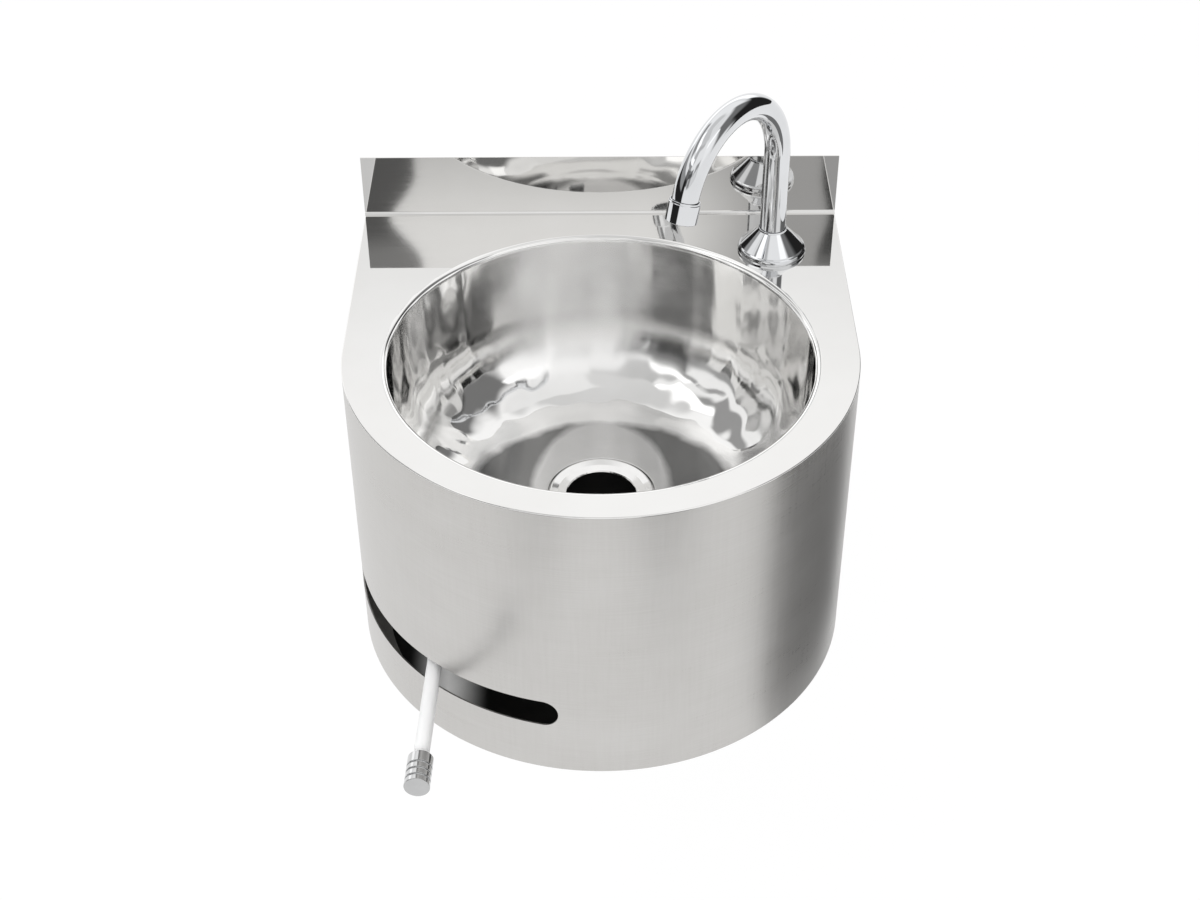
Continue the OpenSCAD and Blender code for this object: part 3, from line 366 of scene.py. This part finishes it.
def new_piece(name, verts, faces, material, body, slot, nodes=(), place=None):
    """One smooth-shaded mesh piece in the row frame; edges over SHARP stay crisp."""
    mesh = bpy.data.meshes.new(name)
    points = [Vector(v) for v in verts]
    if place is not None:
        points = [place @ v for v in points]
    mesh.from_pydata([(v.x * MM, v.y * MM, (v.z + DECK_Z) * MM) for v in points], [], faces)
    work = bmesh.new()
    work.from_mesh(mesh)
    bmesh.ops.remove_doubles(work, verts=work.verts, dist=1e-7)
    bmesh.ops.recalc_face_normals(work, faces=work.faces)
    work.to_mesh(mesh)
    work.free()
    mesh.shade_smooth()
    mesh.set_sharp_from_angle(angle=SHARP)
    mesh.materials.append(material)
    piece = bpy.data.objects.new(name, mesh)
    bpy.context.scene.collection.objects.link(piece)
    piece.modifiers.new("even_shading", "WEIGHTED_NORMAL").keep_sharp = True
    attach(piece, body)
    if nodes:
        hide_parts(*nodes)


def rounded(points, steps=6):
    """A closed outline of (a, b) or (a, b, radius) corners with each radius drawn as an arc."""
    out = []
    count = len(points)
    for k, corner in enumerate(points):
        p = Vector(corner[:2])
        radius = corner[2] if len(corner) > 2 else 0.0
        if radius <= 0.0:
            out.append(tuple(p))
            continue
        before = (Vector(points[k - 1][:2]) - p).normalized()
        after = (Vector(points[(k + 1) % count][:2]) - p).normalized()
        half = before.angle(after) / 2.0
        reach = radius / math.tan(half)
        centre = p + (before + after).normalized() * (radius / math.sin(half))
        first, last = p + before * reach - centre, p + after * reach - centre
        sweep = first.angle_signed(last)
        for n in range(steps + 1):
            a = -sweep * n / steps
            c, s = math.cos(a), math.sin(a)
            out.append((centre.x + first.x * c - first.y * s, centre.y + first.x * s + first.y * c))
    return out


def lathe(profile, segments):
    """Turns a closed (radius, height) outline round Z."""
    verts, faces, rings = [], [], []
    for r, z in profile:
        if r < TINY:
            rings.append([len(verts)])
            verts.append((0.0, 0.0, z))
            continue
        rings.append(list(range(len(verts), len(verts) + segments)))
        for k in range(segments):
            a = 2.0 * math.pi * k / segments
            verts.append((r * math.cos(a), r * math.sin(a), z))
    for low, high in zip(rings, rings[1:] + rings[:1]):
        for k in range(segments):
            n = (k + 1) % segments
            if len(low) == 1 and len(high) == 1:
                continue
            if len(low) == 1:
                faces.append((low[0], high[k], high[n]))
            elif len(high) == 1:
                faces.append((low[k], low[n], high[0]))
            else:
                faces.append((low[k], low[n], high[n], high[k]))
    return verts, faces


def arc(cx, cy, r, start, stop, steps):
    """Points on an arc, from start to stop in degrees."""
    turns = [math.radians(start + (stop - start) * k / steps) for k in range(steps + 1)]
    return [(cx + r * math.cos(a), cy + r * math.sin(a)) for a in turns]


# ---------------------------------------------------------------- bowl
def bowl_face(grow):
    """Section of the bowl from the top of its rim to the waste hole, moved grow outwards."""
    seat = SEAT_R + grow
    return (arc(RIM_R, -RIM_ROLL, RIM_ROLL - grow, 90, 180, 14)
            + [(WALL_R + grow, CORNER_Z * share) for share in (0.35, 0.7)]
            + arc(FLOOR_R, CORNER_Z, CORNER_R + grow, 0, -87.5, 40)
            + [(seat + 2.0, FLOOR_Z - grow), (seat + 0.4, FLOOR_Z - 0.25 - grow), (seat, FLOOR_Z - 1.0 - grow),
               (seat, SEAT_Z - grow), (WASTE_HOLE_R, SEAT_Z - grow)])


new_piece("bowl_shell", *lathe(bowl_face(0.0) + bowl_face(SHEET_T)[::-1], 256), BOWL_STEEL, "basin", "bright_steel",
          ["bowl"], Matrix.Translation((0.0, BOWL_Y, 0.0)))


# ---------------------------------------------------------------- deck and splashback
FRONT_STEPS = 120


def outline(inset):
    """Plan of the sink from the back left corner round the front to the back right corner."""
    r = FRONT_R - inset
    turns = [math.pi + math.pi * k / FRONT_STEPS for k in range(FRONT_STEPS + 1)]
    sides = (0.0, -50.0, -100.0, -150.0)
    front = [(r * math.cos(a), ARC_Y + r * math.sin(a)) for a in turns]
    return [(-r, y) for y in sides] + front + [(r, y) for y in sides[::-1]]


def deck_sheet():
    """Deck up to its fold, with the rolled outer edge and the bowl opening, as one closed sheet."""
    fold_y = -FOLD_R - SHEET_T
    edge = [math.radians(t) for t in range(0, 91, 15)]
    levels = [(EDGE_R * (1.0 - math.sin(t)), -EDGE_R * (1.0 - math.cos(t))) for t in edge] + [(0.0, -SHEET_T)]
    centre = Vector((0.0, BOWL_Y))
    plan = [Vector((x, min(y, fold_y))) for x, y in outline(0.0)]
    back_steps = 24
    back = [Vector((FRONT_R - 2.0 * FRONT_R * k / back_steps, fold_y)) for k in range(1, back_steps)]
    ring = plan + back
    clean = [p for k, p in enumerate(ring) if (p - ring[k - 1]).length > TINY]
    verts, faces, loops = [], [], []

    def inwards(p, inset):
        """p moved off the outer edge; a point on the fold stays."""
        if p.y >= fold_y - TINY and abs(p.x) < FRONT_R - TINY:
            return p
        if p.y > ARC_Y:
            return Vector((p.x - math.copysign(inset, p.x), p.y))
        return p - (p - Vector((0.0, ARC_Y))).normalized() * inset

    def add_loop(points, z):
        start = len(verts)
        verts.extend((p.x, p.y, z) for p in points)
        loops.append(list(range(start, start + len(points))))

    hole = [centre + (p - centre).normalized() * RIM_R for p in clean]
    add_loop(hole, -SHEET_T)
    add_loop(hole, 0.0)
    for inset, z in levels:
        add_loop([inwards(p, inset) for p in clean], z)
    count = len(clean)
    for low, high in zip(loops, loops[1:] + loops[:1]):
        for k in range(count):
            n = (k + 1) % count
            faces.append((low[k], low[n], high[n], high[k]))
    return verts, faces


def splash_sheet():
    """Fold and splashback: the section of the sheet drawn along X."""
    mid_y, mid_z = -FOLD_R - SHEET_T, FOLD_R
    inner = arc(mid_y, mid_z, FOLD_R, -90, 0, 10)
    outer = arc(mid_y, mid_z, FOLD_R + SHEET_T, -90, 0, 10)
    soft, mid = 0.3, 0.1
    top = [(-SHEET_T, SPLASH_H - soft), (-SHEET_T + mid, SPLASH_H - mid), (-SHEET_T + soft, SPLASH_H),
           (-soft, SPLASH_H), (-mid, SPLASH_H - mid), (0.0, SPLASH_H - soft)]
    section = inner + top + outer[::-1]
    steps, end = 16, 0.4
    between = [-FRONT_R + 2.0 * FRONT_R * k / steps for k in range(1, steps)]
    stations = [-FRONT_R, -FRONT_R + end] + between + [FRONT_R - end, FRONT_R]
    verts = [(x, y, z) for x in stations for y, z in section]
    size = len(section)
    faces = []
    for s in range(len(stations) - 1):
        for k in range(size):
            n = (k + 1) % size
            faces.append((s * size + k, s * size + n, (s + 1) * size + n, (s + 1) * size + k))
    faces.append(tuple(range(size)))
    faces.append(tuple(range((len(stations) - 1) * size, len(stations) * size))[::-1])
    return verts, faces


new_piece("deck_sheet", *deck_sheet(), SHEET_STEEL, "basin", "satin_steel", ["deck_splashback"])
new_piece("splashback_sheet", *splash_sheet(), SHEET_STEEL, "basin", "satin_steel")


# ---------------------------------------------------------------- apron
def apron_sheet():
    """The bent apron: columns round the plan, with the slot left open between two blocks of rows."""
    half = SLOT_H / 2.0
    end_inset = math.asin(half / FRONT_R)
    near, far = SLOT_NEAR + end_inset, SLOT_FAR - end_inset
    end_steps, clear = 12, 0.004
    slot_angles = set()
    for k in range(end_steps + 1):
        reach = end_inset * math.cos(math.pi / 2 * k / end_steps)
        slot_angles |= {round(near - reach, 7), round(far + reach, 7)}
    even = {round(-math.pi / 2 + math.pi * k / FRONT_STEPS, 7) for k in range(FRONT_STEPS + 1)}
    angles = sorted(slot_angles | {a for a in even if all(abs(a - b) > clear for b in slot_angles)})

    def opening(a):
        """Half the height of the slot at angle a."""
        if a <= SLOT_NEAR + TINY or a >= SLOT_FAR - TINY:
            return 0.0
        if a < near:
            return half * math.sqrt(max(0.0, 1.0 - ((near - a) / end_inset) ** 2))
        if a > far:
            return half * math.sqrt(max(0.0, 1.0 - ((a - far) / end_inset) ** 2))
        return half

    sides = (0.0, -40.0, -80.0, -120.0, -160.0)
    stations = [("side", 1, y) for y in sides]
    stations += [("arc", a, 0.0) for a in angles]
    stations += [("side", -1, y) for y in sides[::-1]]

    def place(station, depth):
        """Plan position of a column, depth within the outer side."""
        kind, a, y = station
        r = FRONT_R - depth
        if kind == "side":
            return (a * r, y)
        return (-r * math.sin(a), ARC_Y - r * math.cos(a))

    low_rows = [0.0, 0.004, 0.02, 0.25, 0.5, 0.75, 1.0]
    high_rows = [0.0, 0.12, 0.3, 0.5, 0.7, 0.9, 0.995, 1.0]
    verts, faces, grid, gaps = [], [], {}, []
    top, foot = APRON_TOP, -APRON_H
    for index, station in enumerate(stations):
        gap = opening(station[1]) if station[0] == "arc" else 0.0
        low_edge, high_edge = SLOT_Z - gap, SLOT_Z + gap
        heights = [foot + (low_edge - foot) * s for s in low_rows]
        heights += [high_edge + (top - high_edge) * s for s in high_rows]
        gaps.append(gap)
        for side, depth in enumerate((0.0, SHEET_T)):
            x, y = place(station, depth)
            for row, z in enumerate(heights):
                grid[index, row, side] = len(verts)
                verts.append((x, y, z))
    rows = len(low_rows) + len(high_rows)
    joint = len(low_rows) - 1
    last = len(stations) - 1

    def edge_face(index, row):
        """From the outer to the inner side, between one column and the next."""
        return grid[index, row, 0], grid[index + 1, row, 0], grid[index + 1, row, 1], grid[index, row, 1]

    for index in range(last):
        after = index + 1
        for row in range(rows - 1):
            if row == joint:
                if gaps[index] > 0.0 or gaps[after] > 0.0:
                    faces += [edge_face(index, joint), edge_face(index, joint + 1)]
                continue
            for side in (0, 1):
                faces.append((grid[index, row, side], grid[after, row, side],
                              grid[after, row + 1, side], grid[index, row + 1, side]))
        faces += [edge_face(index, 0), edge_face(index, rows - 1)]
    for index in (0, last):
        for row in range(rows - 1):
            if row != joint:
                faces.append((grid[index, row, 0], grid[index, row + 1, 0],
                              grid[index, row + 1, 1], grid[index, row, 1]))
    return verts, faces


def foot_flange():
    """Inward flange round the foot of the apron."""
    outer, inner = outline(SHEET_T), outline(SHEET_T + FLANGE_W)
    count = len(outer)
    verts = []
    for z in (-APRON_H, -APRON_H + SHEET_T):
        verts += [(x, min(y, 0.0), z) for x, y in outer] + [(x, min(y, 0.0), z) for x, y in inner]
    faces = []
    for k in range(count - 1):
        faces.append((k, k + 1, count + k + 1, count + k))
        faces.append((2 * count + k, 2 * count + k + 1, 3 * count + k + 1, 3 * count + k))
        faces.append((k, k + 1, 2 * count + k + 1, 2 * count + k))
        faces.append((count + k, count + k + 1, 3 * count + k + 1, 3 * count + k))
    for k in (0, count - 1):
        faces.append((k, count + k, 3 * count + k, 2 * count + k))
    return verts, faces


def back_return(side):
    """Strip turned inwards at the back end of one side of the apron."""
    low_x, high_x = sorted((side * (FRONT_R - SHEET_T), side * (FRONT_R - RETURN_W)))
    corners = [(low_x, -SHEET_T), (high_x, -SHEET_T), (high_x, 0.0), (low_x, 0.0)]
    heights = (-APRON_H + SHEET_T, APRON_TOP)
    verts = [(x, y, z) for z in heights for x, y in corners]
    faces = [(0, 1, 2, 3), (4, 5, 6, 7)] + [(k, (k + 1) % 4, 4 + (k + 1) % 4, 4 + k) for k in range(4)]
    return verts, faces


new_piece("apron_sheet", *apron_sheet(), APRON_STEEL, "basin", "satin_steel", ["apron"])
new_piece("apron_foot_flange", *foot_flange(), MILL_STEEL, "basin", "satin_steel")
new_piece("apron_return_left", *back_return(-1), MILL_STEEL, "basin", "satin_steel")
new_piece("apron_return_right", *back_return(1), MILL_STEEL, "basin", "satin_steel")


# ---------------------------------------------------------------- waste
waste_profile = rounded([
    (28.3, -60.0), (29.8, -60.0), (29.8, -19.7), (29.0, -19.7), (29.0, -17.7), (29.8, -17.7), (29.8, 1.0), (40.5, 1.0),
    (40.5, 0.0), (42.0, 0.0), (42.0, 4.0, 0.5), (40.8, 4.0, 0.4), (35.6, 2.7, 1.2), (28.9, 1.9, 0.5), (28.3, 1.0, 0.3)])
new_piece("waste_flange_body", *lathe(waste_profile, 160), WASTE_STEEL, "basin", "bright_steel", ["waste_body"],
          Matrix.Translation((0.0, BOWL_Y, SEAT_Z)))


# ---------------------------------------------------------------- spout
def spout_frame(s, h, t):
    """Matrix whose Z runs along the tube, at distance s from the stem and height h, where it has turned by t."""
    across = Vector((-math.sin(TURN), -math.cos(TURN)))
    z = Vector((across.x * math.sin(t), across.y * math.sin(t), math.cos(t)))
    y = Vector((-across.y, across.x, 0.0))
    out = Matrix((y.cross(z), y, z)).transposed().to_4x4()
    out.translation = (SPOUT.x + across.x * s, SPOUT.y + across.y * s, h)
    return out


def bend_point(t):
    """Distance from the stem, height and turn where the bend has turned by t."""
    return BEND_R * (1 - math.cos(t)), SPOUT_RISE + BEND_R * math.sin(t), t


def spout_tube():
    """Rise, bend and nose of the tube as one closed skin, outside and bore."""
    steps, segments = 110, 72
    path = [(0.0, h, 0.0) for h in (SPOUT_FOOT, 30.0, 60.0, SPOUT_RISE)]
    path += [bend_point(BEND * k / steps) for k in range(1, steps + 1)]
    s, h, t = path[-1]
    path.append((s + SPOUT_NOSE * math.sin(t), h + SPOUT_NOSE * math.cos(t), t))
    verts, faces, rings = [], [], []
    for r, order in ((SPOUT_R, path), (SPOUT_BORE, path[::-1])):
        for s, h, t in order:
            place = spout_frame(s, h, t)
            rings.append(len(verts))
            for k in range(segments):
                a = 2 * math.pi * k / segments
                verts.append(place @ Vector((r * math.cos(a), r * math.sin(a), 0.0)))
    for k, start in enumerate(rings):
        after = rings[(k + 1) % len(rings)]
        for n in range(segments):
            m = (n + 1) % segments
            faces.append((start + n, start + m, after + m, after + n))
    return verts, faces


def collar_mesh():
    """Aerator collar with its top ring and the notches in its lower rim."""
    profile = rounded([
        (11.1, -0.3), (11.9, -0.3, 0.3), (11.9, 1.1, 0.1), (12.4, 1.5, 0.3), (12.4, 16.6, 0.4), (11.6, 17.0, 0.2),
        (9.7, 17.0, 0.2), (9.7, 16.0), (11.1, 16.0)], 4)
    notches, columns, notch_columns = 16, 14, 3
    notch_z, notch_r, keep = 16.25, 10.3, 0.2
    segments = notches * columns
    verts, faces = lathe(profile, segments)
    cut = []
    for index, (x, y, z) in enumerate(verts):
        if z > notch_z and math.hypot(x, y) > notch_r and index % segments % columns < notch_columns:
            z = notch_z - (z - notch_z) * keep
        cut.append((x, y, z))
    return cut, faces


new_piece("spout_swan_neck", *spout_tube(), CHROME, "spout", "chrome", ["spout_tube"])
new_piece("spout_collar", *collar_mesh(), CHROME, "spout", "chrome", ["aerator_collar"],
          spout_frame(*bend_point(BEND)))

cone_profile = rounded([
    (26.5, 0.0), (27.6, 0.0, 0.3), (28.0, 1.8, 0.9), (27.2, 4.6, 2.2), (25.6, 5.6, 0.9), (11.9, 20.6, 0.7),
    (11.6, 21.8, 0.3), (11.0, 22.0, 0.2), (10.9, 19.5), (24.6, 4.4), (26.5, 3.2)], 8)
new_piece("spout_cone_cover", *lathe(cone_profile, 160), CHROME, "basin", "chrome", ["spout_cone"],
          Matrix.Translation((SPOUT.x, SPOUT.y, 0.0)))


# ---------------------------------------------------------------- lever
def lever_frame(out):
    """Matrix whose Z runs along the lever, at distance out from the valve's axis."""
    direction = Vector((-math.sin(LEVER_TURN), -math.cos(LEVER_TURN), 0.0))
    side = Vector((-direction.y, direction.x, 0.0))
    matrix = Matrix((side, side.cross(direction) * -1.0, direction)).transposed().to_4x4()
    matrix.translation = Vector((LEVER_X, LEVER_Y, LEVER_Z)) + direction * out
    return matrix


def knob_profile():
    """Section of the knob with its grooves and the blind bore for the lever."""
    pitch = (KNOB_L - GROOVES_FROM) / GROOVES
    points = [(LEVER_BORE, 0.0), (KNOB_R, 0.0, 0.5)]
    for k in range(GROOVES):
        start = GROOVES_FROM + k * pitch
        points += [(KNOB_R, start, 0.25), (KNOB_R - GROOVE_DEPTH, start, 0.2),
                   (KNOB_R - GROOVE_DEPTH, start + GROOVE_W, 0.2), (KNOB_R, start + GROOVE_W, 0.25)]
    return points + [(KNOB_R, KNOB_L, 0.5), (0.0, KNOB_L), (0.0, KNOB_BORE_L), (LEVER_BORE, KNOB_BORE_L)]


KNOB_START = LEVER_END - KNOB_L
SLEEVE_L = KNOB_START - BOSS_OUT
sleeve_profile = [(LEVER_BORE, 0.0), (SLEEVE_R, 0.0, 0.3), (SLEEVE_R, SLEEVE_L, 0.3), (LEVER_BORE, SLEEVE_L)]
new_piece("lever_sleeve_white", *lathe(rounded(sleeve_profile, 4), 64), WHITE_PLASTIC, "lever", "white_plastic",
          ["lever_sleeve"], lever_frame(BOSS_OUT))
new_piece("lever_knob_turned", *lathe(rounded(knob_profile(), 4), 96), KNOB_METAL, "lever", "chrome",
          ["lever_knob"], lever_frame(KNOB_START))


# ---------------------------------------------------------------- stage, light, camera
def stage_plane(name, corners, material):
    mesh = bpy.data.meshes.new(name)
    mesh.from_pydata(corners, [], [tuple(range(len(corners)))])
    mesh.materials.append(material)
    piece = bpy.data.objects.new(name, mesh)
    bpy.context.scene.collection.objects.link(piece)
    return piece


def level_corners(left, right, front, back, z):
    """Corners of a level rectangle at height z."""
    return [(left, front, z), (right, front, z), (right, back, z), (left, back, z)]


def floor_material():
    """White where a camera, gloss or transmission ray meets it, apart from the soft shadow."""
    m = Nodes("pale_floor")
    rays = m.add("ShaderNodeLightPath").outputs
    mirrored = m.math("MAXIMUM", rays["Is Glossy Ray"], rays["Is Transmission Ray"])
    seen = m.math("MAXIMUM", rays["Is Camera Ray"], mirrored)
    diffuse = m.add("ShaderNodeBsdfDiffuse", {"Color": (0.82, 0.82, 0.82, 1.0)}).outputs["BSDF"]
    glow = m.add("ShaderNodeEmission", {"Color": (1.0, 1.0, 1.0, 1.0), "Strength": 1.06}).outputs["Emission"]
    share = m.math("MAXIMUM", m.times(seen, 0.85), 0.35)
    m.surface(m.add("ShaderNodeMixShader", {"Fac": share, 1: diffuse, 2: glow}).outputs["Shader"])
    return m.material


def card_material(name, tone):
    """An even glow."""
    m = Nodes(name)
    m.surface(m.add("ShaderNodeEmission", {"Color": (tone, tone, tone, 1.0), "Strength": 1.0}).outputs["Emission"])
    return m.material


def reflector(name, corners, material):
    """A card that only mirrors show: no camera sees it, and it casts no shadow and no colour."""
    card = stage_plane(name, corners, material)
    card.visible_camera = card.visible_shadow = card.visible_diffuse = False


STUDIO_FLOOR_Z = -0.55
CARD_Z = STUDIO_FLOOR_Z + 0.005
stage_plane("studio_floor", level_corners(-6.0, 6.0, -6.0, 6.0, STUDIO_FLOOR_Z), floor_material())
reflector("right_flag", [(0.46, -0.40, -0.54), (0.46, 0.10, -0.54), (0.46, 0.10, -0.12), (0.46, -0.40, -0.12)],
          card_material("dark_flag", 0.20))
reflector("right_floor_card", level_corners(0.27, 0.62, -1.40, -0.98, CARD_Z), card_material("grey_card", 0.36))
reflector("left_floor_card", level_corners(-0.62, -0.27, -1.40, -0.98, CARD_Z), card_material("light_card", 0.66))
wall_card = stage_plane(
    "wall_card", [(-0.199, 0.006, -0.169), (0.199, 0.006, -0.169), (0.199, 0.006, 0.088), (-0.199, 0.006, 0.088)],
    card_material("dark_wall", 0.25))
wall_card.visible_camera = False

# Flags and cards of the tent, later rows over earlier ones. Each row: azimuth from the front towards +X, its half
# width and the softness of the upright edges; elevation, its half height and the softness of the level edges, all in
# degrees; brightness. A row at BACK reaches round to both sides.
BACK = 180.0
TENT = (
    (0.0, 181.0, 1.0, 82.0, 16.0, 8.0, 0.74),
    (76.0, 50.0, 14.0, 78.0, 16.0, 8.0, 0.94),
    (BACK, 56.0, 12.0, 46.0, 18.0, 12.0, 1.10),
    (BACK, 58.0, 14.0, 20.0, 10.0, 5.0, 1.45),
    (BACK, 60.0, 12.0, 31.0, 4.0, 7.0, 0.94),
    (-22.0, 32.0, 8.0, 56.0, 11.0, 5.0, 0.58),
    (14.0, 36.0, 10.0, 48.0, 12.0, 6.0, 1.04),
    (-114.0, 31.0, 7.0, 46.0, 7.5, 4.0, 0.36),
    (-92.0, 29.0, 5.0, 60.5, 6.5, 3.0, 1.50),
    (50.0, 19.0, 5.0, 35.0, 14.0, 4.0, 1.10),
    (0.0, 24.0, 6.0, 25.0, 10.0, 5.0, 0.34),
    (8.0, 15.0, 6.0, 21.0, 6.5, 4.0, 0.85),
    (100.0, 35.0, 12.0, 30.0, 22.0, 12.0, 0.20),
    (-43.0, 16.0, 5.0, 28.0, 9.5, 3.0, 0.18),
    (-54.0, 19.0, 6.0, 46.4, 3.8, 0.8, 1.42),
    (-56.0, 21.0, 6.0, 40.0, 2.6, 0.8, 0.38),
    (52.0, 17.0, 5.0, 46.5, 4.5, 1.0, 1.38),
    (-80.0, 44.0, 6.0, 4.0, 22.5, 6.0, 0.02),
    (-92.0, 34.0, 8.0, 19.0, 8.0, 4.0, 0.36),
    (118.0, 30.0, 9.0, 4.0, 24.0, 12.0, 0.02),
    (0.75, 7.0, 0.15, 33.0, 4.5, 2.0, 1.04),
    (0.75, 7.0, 0.15, 28.0, 2.6, 4.6, 0.62),
    (9.2, 5.2, 5.0, 32.0, 4.5, 1.5, 0.46),
    (-20.2, 14.0, 0.18, 31.0, 4.0, 1.2, 0.12),
    (-20.2, 14.0, 0.18, 34.2, 1.6, 0.8, 0.26),
    (8.05, 0.38, 0.15, 30.5, 3.0, 1.6, 0.06),
)


def tent_strength(tent):
    """Brightness of the studio round the sink: the rows of TENT in turn, white to the camera."""
    direction = tent.add("ShaderNodeTexCoord").outputs["Generated"]
    where = tent.add("ShaderNodeSeparateXYZ", {"Vector": direction}).outputs
    degrees = 180.0 / math.pi
    bearing = tent.times(tent.math("ARCTAN2", where["X"], tent.times(where["Y"], -1.0)), degrees)
    height = tent.times(tent.math("ARCSINE", where["Z"]), degrees)
    # in a narrow band of elevation the upright edges step aside, as a slight dent in the sheet would make them
    swell = tent.times(tent.near(height, 31.9, 0.65, 1.7), tent.span(bearing, 1.0, -0.3, -3.0, 3.0))
    azimuth = tent.plus(bearing, swell)
    mirrored = tent.math("ABSOLUTE", azimuth)
    tone = 1.0
    for side, half_width, side_soft, middle, half_height, height_soft, level in TENT:
        across = tent.near(mirrored if side == BACK else azimuth, side, half_width, side_soft)
        tone = tent.blend(tent.times(across, tent.near(height, middle, half_height, height_soft)), tone, level)
    return tent.blend(tent.add("ShaderNodeLightPath").outputs["Is Camera Ray"], tone, 1.0)


world = bpy.data.worlds.new("studio")
bpy.context.scene.world = world
world.use_nodes = True
background = world.node_tree.nodes["Background"]
background.inputs["Color"].default_value = (1.0, 1.0, 1.0, 1.0)
world.node_tree.links.new(tent_strength(Nodes(tree=world.node_tree)), background.inputs["Strength"])


def area_lamp(name, place, target, size, power):
    lamp = bpy.data.lights.new(name, "AREA")
    lamp.shape = "RECTANGLE"
    lamp.size, lamp.size_y = size
    lamp.energy = power
    item = bpy.data.objects.new(name, lamp)
    bpy.context.scene.collection.objects.link(item)
    item.location = place
    item.rotation_euler = (Vector(target) - Vector(place)).to_track_quat("-Z", "Y").to_euler()
    item.visible_glossy = False


area_lamp("key_softbox", (-1.2, -0.9, 1.6), (0, -0.2, 0), (0.9, 0.9), 6.0)
area_lamp("front_fill", (-0.3, -1.5, 0.5), (-0.15, -0.46, -0.15), (0.5, 0.5), 8.0)

# the camera of the photo: its place and directions, lens and sensor in millimetres
CAMERA_AT = (-0.00205, -1.4137, 0.8791 + DECK_Z * MM)
CAMERA_RIGHT, CAMERA_UP = Vector((1.0, -0.0036, -0.0033)), Vector((0.0048, 0.6275, 0.7786))
CAMERA_FORWARD = Vector((0.0007, 0.7786, -0.6275))

camera_data = bpy.data.cameras.new("photo_camera")
camera_data.sensor_width = 36.0
camera_data.lens = 58.13
camera = bpy.data.objects.new("photo_camera", camera_data)
bpy.context.scene.collection.objects.link(camera)
pose = Matrix((CAMERA_RIGHT, CAMERA_UP, -CAMERA_FORWARD)).transposed().to_4x4()
pose.translation = CAMERA_AT
camera.matrix_world = pose
bpy.context.scene.camera = camera

bpy.context.scene.view_settings.view_transform = "Standard"
